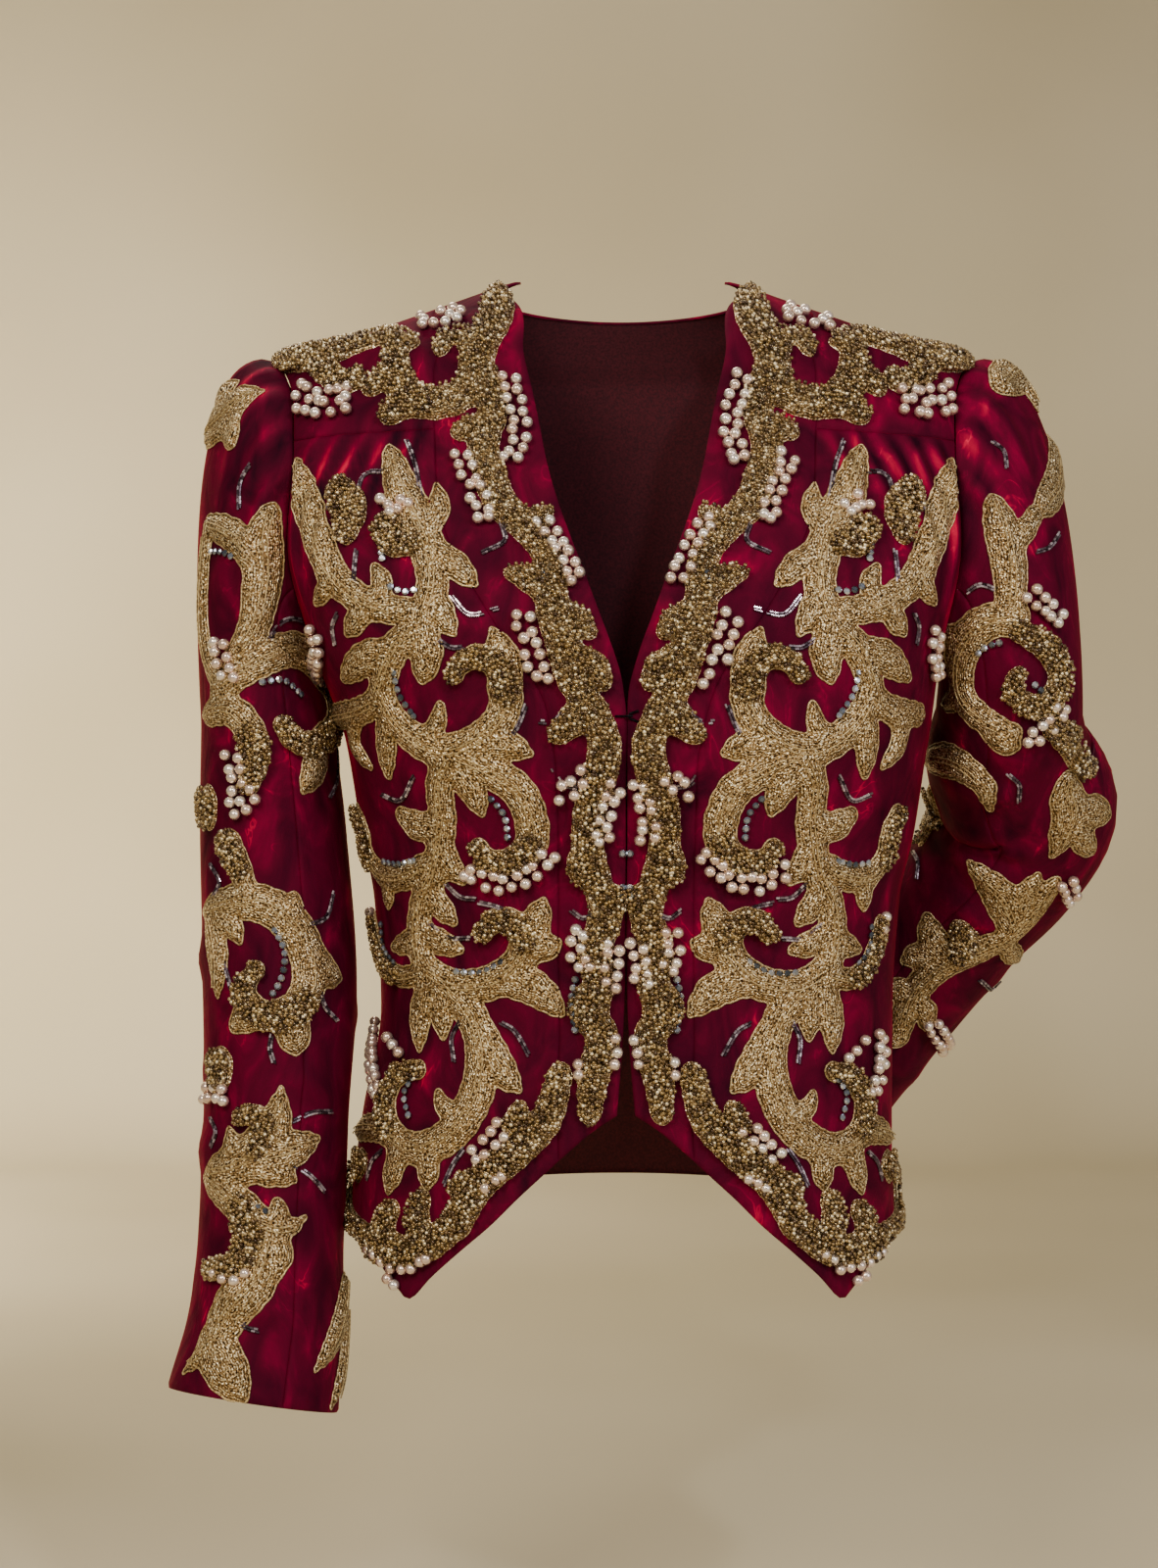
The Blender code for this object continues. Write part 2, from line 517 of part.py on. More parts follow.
    def normal(self, u, v):
        """The cloth's own normal, turning to the mitred edge near the armhole."""
        u, v = np.broadcast_arrays(np.asarray(u, float), np.asarray(v, float))
        angle = self.angle(u)
        seam = [np.interp(angle, self.hole_angle, self.seam_normal[:, k]) for k in range(3)]
        seam = np.stack(seam, axis=-1)
        near = soft_step((v - self.head_length(angle) + SEAM_TURN) / SEAM_TURN)[..., None]
        return unit(self.own_normal(u, v) * (1 - near) + seam * near)

    def place(self, degrees, v):
        return -self.side * math.radians(degrees) * SLEEVE_ROUND, v

    def cap(self, step):
        """The pattern point on the sleeve's own armhole edge."""
        angle = 2 * math.pi * step / ARMHOLE_STEPS
        return -self.side * angle * SLEEVE_ROUND, float(self.head_length(angle))


def along_points(surface, points, mirrored):
    """Pattern points at even steps on the body along a cubic through a stroke's points, and headings."""
    flip = -1 if mirrored and isinstance(surface, Torso) else 1
    row = np.array([surface.place(flip * x, z) for x, z in points])
    gaps = np.linalg.norm(np.diff(surface.base(row[:, 0], row[:, 1]), axis=0), axis=1)
    at = np.concatenate([[0], np.cumsum(np.sqrt(gaps))])
    fine = np.linspace(0, at[-1], 12 * len(row))
    line = np.stack([through(at, row[:, k], level_ends=False)(fine) for k in range(2)], axis=1)
    gaps = np.linalg.norm(np.diff(surface.base(line[:, 0], line[:, 1]), axis=0), axis=1)
    run = np.concatenate([[0], np.cumsum(gaps)])
    count = max(int(round(run[-1] / STROKE_STEP)), 4)
    even = np.linspace(0, run[-1], count + 1)
    spots = np.stack([np.interp(even, run, line[:, k]) for k in range(2)], axis=1)
    u, v = spots[:, 0], spots[:, 1]
    small = 0.5
    across = unit(surface.base(u + small, v) - surface.base(u - small, v))
    up = surface.base(u, v + small) - surface.base(u, v - small)
    rise = np.cross(unit(np.cross(across, up)), across)
    way = np.gradient(surface.base(u, v), axis=0)
    headings = np.unwrap(np.arctan2((way * rise).sum(axis=1), (way * across).sum(axis=1)))
    return spots, np.degrees(headings)


def half_widths(share, start, belly, end):
    """Half the stroke's width: from start to end, with the belly's bulge a third of the way along."""
    edge = start + (end - start) * share
    bulge = np.sin(math.pi * share**0.75)
    return 0.5 * np.maximum(edge * (1 - bulge) + belly * bulge, 0.6)


class Motif:
    """One stroke on a surface: its middle line on the pattern and on the body, and its half widths."""

    def __init__(self, surface, stroke, mirrored):
        self.spots, self.headings = along_points(surface, stroke.points, mirrored)
        share = np.linspace(0, 1, len(self.spots))
        self.half = half_widths(share, stroke.start, stroke.belly, stroke.end)
        self.line = surface.base(self.spots[:, 0], self.spots[:, 1])
        self.lift = BEADED_LIFT if stroke.beads == 0 else GOLD_LIFT

    def outline(self, surface):
        """Pattern points down both edges and the middle, at the few places that matter."""
        keep = [0]
        for i in range(1, len(self.spots) - 1):
            turned = abs(self.headings[i] - self.headings[keep[-1]])
            if turned > OUTLINE_TURN or (i - keep[-1]) * STROKE_STEP > OUTLINE_STEP:
                keep.append(i)
        keep.append(len(self.spots) - 1)
        spots = self.spots[keep]
        small = 0.5
        u, v = spots[:, 0], spots[:, 1]
        right = surface.base(u + small, v) - surface.base(u - small, v)
        up = surface.base(u, v + small) - surface.base(u, v - small)
        least = 0.1
        stretch_u = np.maximum(np.linalg.norm(right, axis=1), least)
        stretch_v = np.maximum(np.linalg.norm(up, axis=1), least)
        lean = np.radians(self.headings[keep] + 90)
        out = np.stack([np.cos(lean) / stretch_u, np.sin(lean) / stretch_v], axis=1)
        out = out * self.half[keep][:, None]
        return spots + out, spots - out, spots


def lifted(points, motifs):
    """How far the applique stands out at points of the body: full inside a stroke and soft at its edge."""
    total = np.zeros(len(points))
    for m in motifs:
        low = m.line.min(axis=0) - 20
        high = m.line.max(axis=0) + 20
        near = np.nonzero(((points > low) & (points < high)).all(axis=1))[0]
        if len(near) == 0:
            continue
        start = m.line[:-1]
        run = m.line[1:] - start
        off = points[near][:, None, :] - start[None, :, :]
        t = np.clip((off * run).sum(axis=2) / (run * run).sum(axis=1), 0, 1)
        away = np.linalg.norm(off - t[..., None] * run, axis=2)
        half = m.half[:-1] + (m.half[1:] - m.half[:-1]) * t
        inside = (half - away).max(axis=1)
        total[near] = np.maximum(total[near], m.lift * soft_step(inside / LIFT_SLOPE + 0.02))
    return total


def edge_distance(points, loop):
    """How far pattern points are from a closed line, less inside it."""
    start = loop
    run = np.roll(loop, -1, axis=0) - loop
    off = points[:, None, :] - start[None, :, :]
    t = np.clip((off * run).sum(axis=2) / (run * run).sum(axis=1), 0, 1)
    return np.linalg.norm(off - t[..., None] * run, axis=2).min(axis=1)


def inside_loop(points, loop):
    """Whether points lie inside a closed line: a line to the right crosses it an odd number of times."""
    x, y = points[:, :1], points[:, 1:]
    x1, y1 = loop[:, 0], loop[:, 1]
    x2, y2 = np.roll(x1, -1), np.roll(y1, -1)
    level = np.where(y2 == y1, 1e-12, y2 - y1)
    crosses = ((y1 > y) != (y2 > y)) & (x < (x2 - x1) * (y - y1) / level + x1)
    return crosses.sum(axis=1) % 2 == 1


def drawn_in(surface, loop):
    """The outline moved in by half a seam gap, measured on the body."""
    points = surface.base(loop[:, 0], loop[:, 1])
    normals = surface.normal(loop[:, 0], loop[:, 1])
    before = unit(points - np.roll(points, 1, axis=0))
    after = unit(np.roll(points, -1, axis=0) - points)
    area = (loop[:, 0] * np.roll(loop[:, 1], -1) - np.roll(loop[:, 0], -1) * loop[:, 1]).sum()
    turn = 1 if area > 0 else -1
    first = unit(np.cross(normals, before)) * turn
    second = unit(np.cross(normals, after)) * turn
    middle = unit(first + second)
    reach = 0.5 * SEAM_GAP / np.clip((middle * first).sum(axis=1), 0.4, 1)
    small = 0.4
    inner = loop.mean(axis=0)
    bias = np.where(inner > loop, small, -small)
    right = (surface.base(loop[:, 0] + bias[:, 0], loop[:, 1]) - points) / bias[:, :1]
    up = (surface.base(loop[:, 0], loop[:, 1] + bias[:, 1]) - points) / bias[:, 1:]
    move = middle * reach[:, None]
    a = (right * right).sum(axis=1)
    b = (right * up).sum(axis=1)
    c = (up * up).sum(axis=1)
    p = (move * right).sum(axis=1)
    q = (move * up).sum(axis=1)
    lean = a * c - b * b
    return loop + np.stack([(c * p - b * q) / lean, (a * q - b * p) / lean], axis=1)


def lattice(loop, across, along):
    """Pattern points in a staggered grid inside the outline, none near its edge."""
    low = loop.min(axis=0)
    high = loop.max(axis=0)
    rows = []
    for j, v in enumerate(np.arange(low[1] + along / 2, high[1], along)):
        shift = across / 2 if j % 2 else 0
        u = np.arange(low[0] + shift, high[0], across)
        rows.append(np.stack([u, np.full(len(u), v)], axis=1))
    points = np.concatenate(rows)
    points = points[inside_loop(points, loop)]
    return points[edge_distance(points, loop) > 0.45 * min(across, along)]


def crease_points(folds, loop):
    """Pattern points on each fold's crest and at its two feet."""
    rows = []
    for f in folds:
        run = np.array([f.u2 - f.u1, f.v2 - f.v1])
        length = np.hypot(*run)
        side = np.array([run[1], -run[0]]) / length
        for share in np.arange(0.16, 0.95, max(0.22, 14 / length)):
            for off in (-1.5 * f.width, 0, 1.5 * f.width):
                rows.append(np.array([f.u1, f.v1]) + run * share + side * off)
    if not rows:
        return np.zeros((0, 2))
    points = np.array(rows)
    points = points[inside_loop(points, loop)]
    return points[edge_distance(points, loop) > 2.5]


def thinned(points, apart, others=None):
    """The points that lie apart from the ones before them and from the others."""
    kept = [] if others is None else [tuple(p) for p in others]
    first = len(kept)
    cells = {}
    for i, p in enumerate(kept):
        cells.setdefault((int(p[0] // apart), int(p[1] // apart)), []).append(i)
    for p in points:
        cell = (int(p[0] // apart), int(p[1] // apart))
        close = False
        for di in (-1, 0, 1):
            for dj in (-1, 0, 1):
                for i in cells.get((cell[0] + di, cell[1] + dj), ()):
                    if math.hypot(kept[i][0] - p[0], kept[i][1] - p[1]) < apart:
                        close = True
        if not close:
            cells.setdefault(cell, []).append(len(kept))
            kept.append((p[0], p[1]))
    return np.array(kept[first:]).reshape(-1, 2)


def triangles(points, edges, loop):
    """The constrained Delaunay triangles inside the outline, whose corners come first in points."""
    found = geometry.delaunay_2d_cdt([Vector(p) for p in points], edges, [], 0, 1e-4)
    spots = np.array([tuple(p) for p in found[0]])
    faces = np.array([f for f in found[2]])
    middle = spots[faces].mean(axis=1)
    faces = faces[inside_loop(middle, loop) & (edge_distance(middle, loop) > 0.02)]
    corner = {}
    for new, olds in enumerate(found[3]):
        for old in olds:
            if old < len(loop):
                corner[old] = new
    return spots, faces, [corner[i] for i in range(len(loop))]


def applique_lines(surface, motifs, loop):
    """Pattern points and edges of the strokes that lie inside the outline, clear of its seams."""
    points = []
    edges = []
    crests = []
    for m in motifs:
        left, right, middle = m.outline(surface)
        for line in (left, right):
            index = np.arange(len(line)) + len(points)
            inner = inside_loop(line, loop) & (edge_distance(line, loop) > EDGE_FADE)
            points.extend(line)
            for i in range(len(line) - 1):
                if inner[i] and inner[i + 1] and np.hypot(*(line[i] - line[i + 1])) > 1.5:
                    edges.append((index[i], index[i + 1]))
        crests.extend(middle[1:-1])
    return np.array(points).reshape(-1, 2), edges, np.array(crests).reshape(-1, 2)


def wall(name, surface, outline, material, across=22.0, along=28.0, motifs=()):
    """One cut piece: an outer side with folds and applique, a plain inner side, and the cut edge between."""
    cut = drawn_in(surface, np.array(outline, float))
    rim = [(i, (i + 1) % len(cut)) for i in range(len(cut))]
    creases = crease_points(surface.folds, cut)
    creases = thinned(creases, 2.0)
    inner_extra = np.concatenate([creases, thinned(lattice(cut, across, along), 6.0, creases)])
    lines, edges, crests = applique_lines(surface, motifs, cut)
    used = sorted({i for e in edges for i in e})
    number = {old: k for k, old in enumerate(used)}
    drawn = lines[used]
    crests = crests[inside_loop(crests, cut) & (edge_distance(crests, cut) > EDGE_FADE)]
    crests = thinned(crests, 5.0, drawn)
    extra = thinned(inner_extra, 3.0, np.concatenate([drawn, crests]))
    outer_points = np.concatenate([cut, drawn, crests, extra])
    first = len(cut)
    outer_edges = rim + [(first + number[a], first + number[b]) for a, b in edges]
    spots, faces, outer_rim = triangles(outer_points, outer_edges, cut)
    body = surface.base(spots[:, 0], spots[:, 1])
    fade = soft_step((edge_distance(spots, cut) - 0.5) / EDGE_FADE)
    outer = surface.raised(spots[:, 0], spots[:, 1], lifted(body, motifs) * fade)
    inner_spots, inner_faces, inner_rim = triangles(np.concatenate([cut, inner_extra]), rim, cut)
    inner = surface.raised(inner_spots[:, 0], inner_spots[:, 1], -CLOTH)
    corners = np.concatenate([outer, inner])
    base = len(outer)
    polygons = [tuple(f) for f in faces] + [tuple(base + f[::-1]) for f in inner_faces]
    across_seam = corners @ np.array([0.37, 0.61, 1.0])
    for i in range(len(cut)):
        j = (i + 1) % len(cut)
        a, b = outer_rim[i], outer_rim[j]
        c, d = base + inner_rim[j], base + inner_rim[i]
        if across_seam[a] > across_seam[b]:
            polygons += [(a, b, c), (a, c, d)]
        else:
            polygons += [(b, a, d), (b, d, c)]
    return solid(name, corners, polygons, material)


def solid(name, corners, polygons, material):
    """A mesh object from corners in millimetres."""
    mesh = bpy.data.meshes.new(name)
    mesh.from_pydata([tuple(c) for c in corners * MM], [], [tuple(int(i) for i in p) for p in polygons])
    work = bmesh.new()
    work.from_mesh(mesh)
    bmesh.ops.recalc_face_normals(work, faces=work.faces)
    work.to_mesh(mesh)
    work.free()
    mesh.materials.append(material)
    piece = bpy.data.objects.new(name, mesh)
    bpy.context.scene.collection.objects.link(piece)
    mesh.shade_smooth()
    mesh.set_sharp_from_angle(angle=math.radians(50))
    return piece


def wire(name, points, radius, material, sides=6):
    """A bent wire: a ring of points round each place on its route, and a flat cap at both ends."""
    points = np.array(points, float)
    rings = []
    guide = np.array([0.0, 1.0, 0.0])
    for i in range(len(points)):
        ahead = points[min(i + 1, len(points) - 1)]
        behind = points[max(i - 1, 0)]
        along = unit(ahead - behind)
        side = unit(np.cross(along, guide))
        up = np.cross(side, along)
        angle = 2 * math.pi * np.arange(sides) / sides
        rings.append(points[i] + radius * (np.cos(angle)[:, None] * side + np.sin(angle)[:, None] * up))
    corners = np.concatenate(rings)
    polygons = []
    for i in range(len(points) - 1):
        for k in range(sides):
            a = i * sides + k
            b = i * sides + (k + 1) % sides
            polygons += [(a, b, b + sides), (a, b + sides, a + sides)]
    last = (len(points) - 1) * sides
    polygons.append(tuple(range(sides))[::-1])
    polygons.append(tuple(range(last, last + sides)))
    return solid(name, corners, polygons, material)


def finish(name, color, roughness, metallic=0.0):
    """A plain material of the finish's colour."""
    material = bpy.data.materials.new(name)
    material.use_nodes = True
    shader = material.node_tree.nodes["Principled BSDF"]
    shader.inputs["Base Color"].default_value = (*color, 1)
    shader.inputs["Roughness"].default_value = roughness
    shader.inputs["Metallic"].default_value = metallic
    return material


def seam_lines(torso, side):
    """The cut lines on one side of the body as pattern points: each is shared by the pieces that it joins."""
    ridge = side * math.pi / 2 * ROUND
    lines = {
        "neck": [torso.seen_from_front(side * e.x, e.z) for e in NECK_EDGE],
        "band": [torso.seen_from_front(side * e.x, e.z) for e in BAND_SEAM],
        "band_hem": [torso.seen_from_front(side * e.x, e.z) for e in BAND_HEM],
        "front_hem": [torso.seen_from_front(side * e.x, e.z) for e in FRONT_HEM],
        "neck_point": [(ridge, 0.0)],
        "band_top": [(ridge, BAND_SHOULDER_Z)],
        "ridge": [(ridge, z) for z in (-24.0, -38.0)],
        "side": [(ridge, z) for z in np.linspace(-238, SIDE_HEM_Z, 12)[1:]],
        "armhole": [armhole(torso, side, k) for k in range(ARMHOLE_STEPS)],
    }
    lines["armhole"][0] = (ridge, SHOULDER_TIP_Z)
    start = lines["band"][2]
    end = lines["armhole"][YOKE_SEAM_STEP]
    lines["yoke"] = [
        (start[0] + (end[0] - start[0]) * t, start[1] + (end[1] - start[1]) * t) for t in (0.25, 0.5, 0.75)
    ]
    return lines


def pleats(torso, side):
    """Soft pleats that hang from the yoke seam, uneven in length and depth; x is from the centre."""
    Pleat = namedtuple("Pleat", "x length lean width height")
    rows = [
        Pleat(117, 78, -3, 4.2, 3.0), Pleat(131, 58, -2, 4.2, 2.8), Pleat(145, 112, -1, 4.8, 4.2),
        Pleat(160, 84, -1, 4.6, 3.6), Pleat(175, 124, -2, 4.6, 4.2),
    ]
    made = []
    for p in rows:
        u, v = torso.seen_from_front(side * p.x, YOKE_SEAM_Z - 2)
        stretch = float(np.linalg.norm(torso.base(u + 0.5, v) - torso.base(u - 0.5, v)))
        made.append(Fold(u, v + 8, u + side * p.lean, v - p.length, p.width / stretch, p.height))
    return made


def gathers():
    """Small gathers round the sleeve head, longest at the top of the shoulder."""
    Gather = namedtuple("Gather", "degrees length width height")
    return [
        Gather(-62, 40, 4.0, 2.6), Gather(-44, 56, 4.4, 3.2),
        Gather(-27, 74, 4.6, 3.6), Gather(-10, 62, 4.6, 3.4),
        Gather(7, 92, 4.8, 4.0), Gather(24, 70, 4.6, 3.6),
        Gather(41, 118, 4.8, 4.2), Gather(58, 84, 4.4, 3.8),
        Gather(74, 132, 4.2, 3.6),
    ]


def sleeve_folds(sleeve):
    """The head's gathers and the slanting creases of the arm."""
    made = []
    for g in gathers():
        angle = math.radians(g.degrees)
        u = -sleeve.side * angle * SLEEVE_ROUND
        top = float(sleeve.head_length(angle))
        made.append(Fold(u, top + 6, u * 1.06, top - g.length, g.width, g.height))
    Crease = namedtuple("Crease", "degrees1 v1 degrees2 v2 width height")
    hanging = [
        Crease(-40, -150, 60, -128, 9, 2.6), Crease(60, -176, 150, -150, 9, 2.4),
        Crease(-60, -196, 30, -214, 9, 2.4),
        Crease(100, -206, 175, -232, 8, 2.4), Crease(-30, -262, 70, -240, 9, 2.2),
        Crease(50, -330, 140, -352, 8, 2.2),
        Crease(-70, -344, 20, -322, 8, 2.0), Crease(180, -170, 270, -186, 9, 2.2),
        Crease(200, -250, 280, -236, 9, 2.0),
    ]
    bent = [
        Crease(80, -26, 190, -18, 7, 3.4), Crease(90, -48, 205, -44, 7, 4.2),
        Crease(85, -72, 210, -74, 7, 4.4),
        Crease(90, -98, 200, -104, 8, 3.6), Crease(60, -128, 170, -140, 9, 2.8),
        Crease(-50, -36, 40, -12, 9, 2.4),
        Crease(-60, -118, 30, -96, 9, 2.6), Crease(-40, -190, 60, -166, 9, 2.2),
        Crease(120, -190, 220, -214, 9, 2.2),
        Crease(200, -128, 290, -150, 9, 2.4), Crease(10, -262, 110, -244, 9, 2.0),
    ]
    for c in hanging if sleeve.side == RIGHT else bent:
        u1, v1 = sleeve.place(c.degrees1, c.v1)
        u2, v2 = sleeve.place(c.degrees2, c.v2)
        made.append(Fold(u1, v1, u2, v2, c.width, c.height))
    return made


def back_folds():
    """Shallow creases of the back: two that drop from the shoulder blades and a few across the waist."""
    Crease = namedtuple("Crease", "degrees1 v1 degrees2 v2 width height")
    rows = [
        Crease(122, -150, 138, -330, 11, 2.4), Crease(238, -160, 224, -345, 11, 2.4),
        Crease(150, -404, 206, -392, 10, 2.4), Crease(118, -436, 168, -424, 10, 2.0),
        Crease(196, -440, 246, -452, 10, 2.2), Crease(176, -470, 180, -540, 12, 2.4),
        Crease(140, -466, 132, -542, 11, 2.0), Crease(220, -472, 230, -542, 11, 2.0),
    ]
    return [
        Fold(
            math.radians(c.degrees1) * ROUND, c.v1, math.radians(c.degrees2) * ROUND, c.v2, c.width, c.height
        )
        for c in rows
    ]


def round_the_back(spot):
    """The same pattern point with its angle counted past the wearer's left to the back."""
    return spot[0] % (2 * math.pi * ROUND), spot[1]


def build_front(side, word, velvet):
    """The band, the yoke and the front panel of one side."""
    torso = Torso()
    lines = seam_lines(torso, side)
    band_top = lines["band"][:2]
    junction = [lines["band"][2]]
    band_low = lines["band"][3:]
    hole = lines["armhole"]
    mirrored = side == LEFT
    sewn = [Motif(torso, s, mirrored) for s in BAND_VINE + YOKE_SCROLL + HEM_BORDER + FRONT_SCROLLS]
    band = (
        lines["neck_point"] + lines["band_top"] + band_top + junction + band_low
        + lines["band_hem"] + lines["neck"][::-1]
    )
    wall(f"band_{word}", torso, band, velvet, 22, 26, sewn)
    yoke = (
        lines["band_top"] + lines["ridge"] + hole[: YOKE_SEAM_STEP + 1] + lines["yoke"][::-1] + junction
        + band_top[::-1]
    )
    wall(f"yoke_{word}", torso, yoke, velvet, 18, 13, sewn)
    pleated = Torso(pleats(torso, side))
    front = (
        junction + lines["yoke"] + hole[YOKE_SEAM_STEP : ARMHOLE_STEPS // 2 + 1] + lines["side"]
        + lines["front_hem"] + lines["band_hem"][:1] + band_low[::-1]
    )
    wall(f"front_{word}", pleated, front, velvet, 22, 26, sewn)


def build_back(velvet):
    """One panel from the shoulder seams to the hem, with half of each armhole."""
    torso = Torso(back_folds())
    left = seam_lines(torso, LEFT)
    right = seam_lines(torso, RIGHT)
    half = ARMHOLE_STEPS // 2
    span = [math.pi * ROUND * (0.5 + t / 12) for t in range(1, 12)]
    neck = [(u, BACK_NECK_Z * math.sin(u / ROUND - math.pi / 2) ** 0.5) for u in span[1::2]]
    hem = []
    for u in span[::-1]:
        share = abs(u / ROUND / math.pi - 1) * 2
        hem.append((u, BACK_HEM_Z + (SIDE_HEM_Z - BACK_HEM_Z) * share**2))
    left_down = left["band_top"] + left["ridge"] + left["armhole"][:1] + left["armhole"][:half:-1]
    left_down += left["armhole"][half : half + 1] + left["side"]
    right_up = right["side"][::-1] + right["armhole"][half:] + right["armhole"][:1]
    right_up += right["ridge"][::-1] + right["band_top"]
    outline = (
        left["neck_point"] + left_down + hem[::-1] + right_up + right["neck_point"] + neck[::-1]
    )
    wall("back", torso, [round_the_back(p) for p in outline], velvet, 30, 34)


def seam_down(top, foot):
    """Pattern points of a sleeve seam between the armhole and the cuff, closer near the armhole."""
    start = top[1] - SLEEVE_SEAM_STEP
    count = int(round((start - foot[1]) / SLEEVE_SEAM_STEP))
    near = [(top[0], top[1] - share * SLEEVE_SEAM_STEP) for share in (0.14, 0.3, 0.55)]
    return near + [(top[0], start + (foot[1] - start) * k / count) for k in range(count)]


def build_sleeve(side, word, velvet):
    """The top and under pieces of one sleeve."""
    torso = Torso()
    plain = Sleeve(torso, side)
    sleeve = Sleeve(torso, side, sleeve_folds(plain))
    sewn = [Motif(sleeve, s, False) for s in (SLEEVE_VINE if side == RIGHT else SLEEVE_VINE_LEFT)]

    def piece(first, last):
        cap = [sleeve.cap(k) for k in range(first, last + 1)]
        cuff = [(c[0], -sleeve.length) for c in cap]
        return cap + seam_down(cap[-1], cuff[-1]) + cuff[::-1] + seam_down(cap[0], cuff[0])[::-1]

    top = piece(BACK_SLEEVE_SEAM_STEP - ARMHOLE_STEPS, FRONT_SLEEVE_SEAM_STEP)
    under = piece(FRONT_SLEEVE_SEAM_STEP, BACK_SLEEVE_SEAM_STEP)
    wall(f"sleeve_top_{word}", sleeve, top, velvet, 19, 27, sewn)
    wall(f"sleeve_under_{word}", sleeve, under, velvet, 19, 27, sewn)


def build_closure(steel):
    """The hook on the wearer's right and the eye on the left, bent wires on the bands at the V's foot."""
    torso = Torso()
    height = -262.0
    wire_radius = 0.6
    clear = wire_radius + SEAM_GAP
    low = float(torso.raised(*torso.seen_from_front(6, height), clear)[1])
    high = low - 2 * wire_radius - SEAM_GAP
    eye = [(6.5, low, height + 3), (4.2, low, height + 2.2), (1.8, low, height + 1.4), (1.0, low, height)]
    eye += [(1.8, low, height - 1.4), (4.2, low, height - 2.2), (6.5, low, height - 3)]
    wire("eye", eye, wire_radius, steel)
    hook = [(-6.5, low, height), (-2.4, low, height), (-0.6, (low + high) / 2, height), (0.6, high, height)]
    hook += [(3.4, high, height)]
    wire("hook", hook, wire_radius, steel)


def main():
    for old in list(bpy.data.objects):
        bpy.data.objects.remove(old, do_unlink=True)
    velvet = finish("crimson_velvet", (0.2, 0.0, 0.02), 0.85)
    steel = finish("black_steel", (0.02, 0.02, 0.02), 0.4, 1.0)
    for side, word in ((RIGHT, "right"), (LEFT, "left")):
        build_front(side, word, velvet)
        build_sleeve(side, word, velvet)
    build_back(velvet)
    build_closure(steel)


main()
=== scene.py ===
"""The looks of an embroidered velvet jacket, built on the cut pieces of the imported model.

Shapes are worked out in millimetres. Each cut piece has a flat pattern, u to the right and v up as its
outside is seen, and a surface carries it onto the body. Applique, beads and pearls stand on that surface.
"""

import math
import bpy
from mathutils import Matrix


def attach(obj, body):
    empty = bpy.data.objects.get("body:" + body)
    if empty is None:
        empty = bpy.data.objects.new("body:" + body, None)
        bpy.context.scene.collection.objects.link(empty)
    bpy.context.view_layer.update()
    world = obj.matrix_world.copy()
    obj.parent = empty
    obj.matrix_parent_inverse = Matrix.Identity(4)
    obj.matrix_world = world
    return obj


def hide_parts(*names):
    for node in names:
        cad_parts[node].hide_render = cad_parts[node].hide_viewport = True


bl_info = {
    "name": "Embroidered velvet jacket",
    "version": (1, 0, 0),
    "blender": (4, 5, 0),
    "location": "3D View > Sidebar > Jacket",
    "description": "Makes the jacket's velvet pieces, gold applique, beads and pearls",
    "category": "Object",
}

from collections import namedtuple

import bpy
import numpy as np
from mathutils import Vector

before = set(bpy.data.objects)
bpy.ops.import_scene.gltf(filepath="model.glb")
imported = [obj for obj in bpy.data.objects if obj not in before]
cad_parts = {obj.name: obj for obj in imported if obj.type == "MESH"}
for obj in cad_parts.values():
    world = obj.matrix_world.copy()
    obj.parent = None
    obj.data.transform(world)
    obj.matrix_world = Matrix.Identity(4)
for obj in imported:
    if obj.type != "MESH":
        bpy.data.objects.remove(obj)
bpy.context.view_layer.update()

MM = 0.001
ROUND = 130.0
MIDDLE_Y = 5.0
SHOULDER_TIP_Z = -51.0
SLEEVE_ROUND = 50.0
RIGHT = -1
LEFT = 1
WORDS = {RIGHT: "right", LEFT: "left"}

# The torso, level by level: half width, depth before and behind the middle, sideways shift, squareness.
Level = namedtuple("Level", "z half_width front back shift square")
TORSO = [
    Level(8, 40, 20, 38, 0, 2.0),
    Level(0, 61, 30, 46, 0, 2.0),
    Level(-25.5, 132, 47, 66, 0, 2.1),
    Level(-38, 167, 55, 74, 0, 2.2),
    Level(SHOULDER_TIP_Z, 203, 62, 81, 0, 2.4),
    Level(-75, 204, 70, 87, 0, 2.9),
    Level(-103, 203, 78, 93, 0, 3.5),
    Level(-160, 199, 100, 100, 0, 3.7),
    Level(-220, 184, 119, 99, 2, 3.1),
    Level(-275, 171, 121, 94, 8, 2.6),
    Level(-327, 163, 113, 86, 8.5, 2.4),
    Level(-366, 155, 107, 79, 8, 2.4),
    Level(-430, 151, 103, 73, 8, 2.4),
    Level(-490, 156, 108, 86, 2.5, 2.4),
    Level(-531, 159, 112, 98, 0, 2.4),
    Level(-600, 164, 116, 110, -1, 2.4),
]

# Cut lines as they show from the front: height and distance from the centre front.
Edge = namedtuple("Edge", "z x")
NECK_EDGE = [
    Edge(-24, 59.5), Edge(-65, 55), Edge(-118, 44), Edge(-163, 30), Edge(-190, 20), Edge(-229, 6),
    Edge(-256, 0.5), Edge(-300, 0.4), Edge(-350, 0.4), Edge(-400, 0.4), Edge(-440, 1.6), Edge(-482, 5),
]
BAND_SHOULDER_Z = -11.7
YOKE_SEAM_Z = -98.0
BAND_SEAM = [
    Edge(-38, 104), Edge(-66, 109), Edge(YOKE_SEAM_Z, 108), Edge(-130, 106), Edge(-163, 99), Edge(-205, 76),
    Edge(-246, 49), Edge(-275, 41), Edge(-299, 38.5), Edge(-350, 37.5), Edge(-400, 37.5), Edge(-450, 37.5),
]
BAND_HEM = [Edge(-507, 37.5), Edge(-492, 20)]
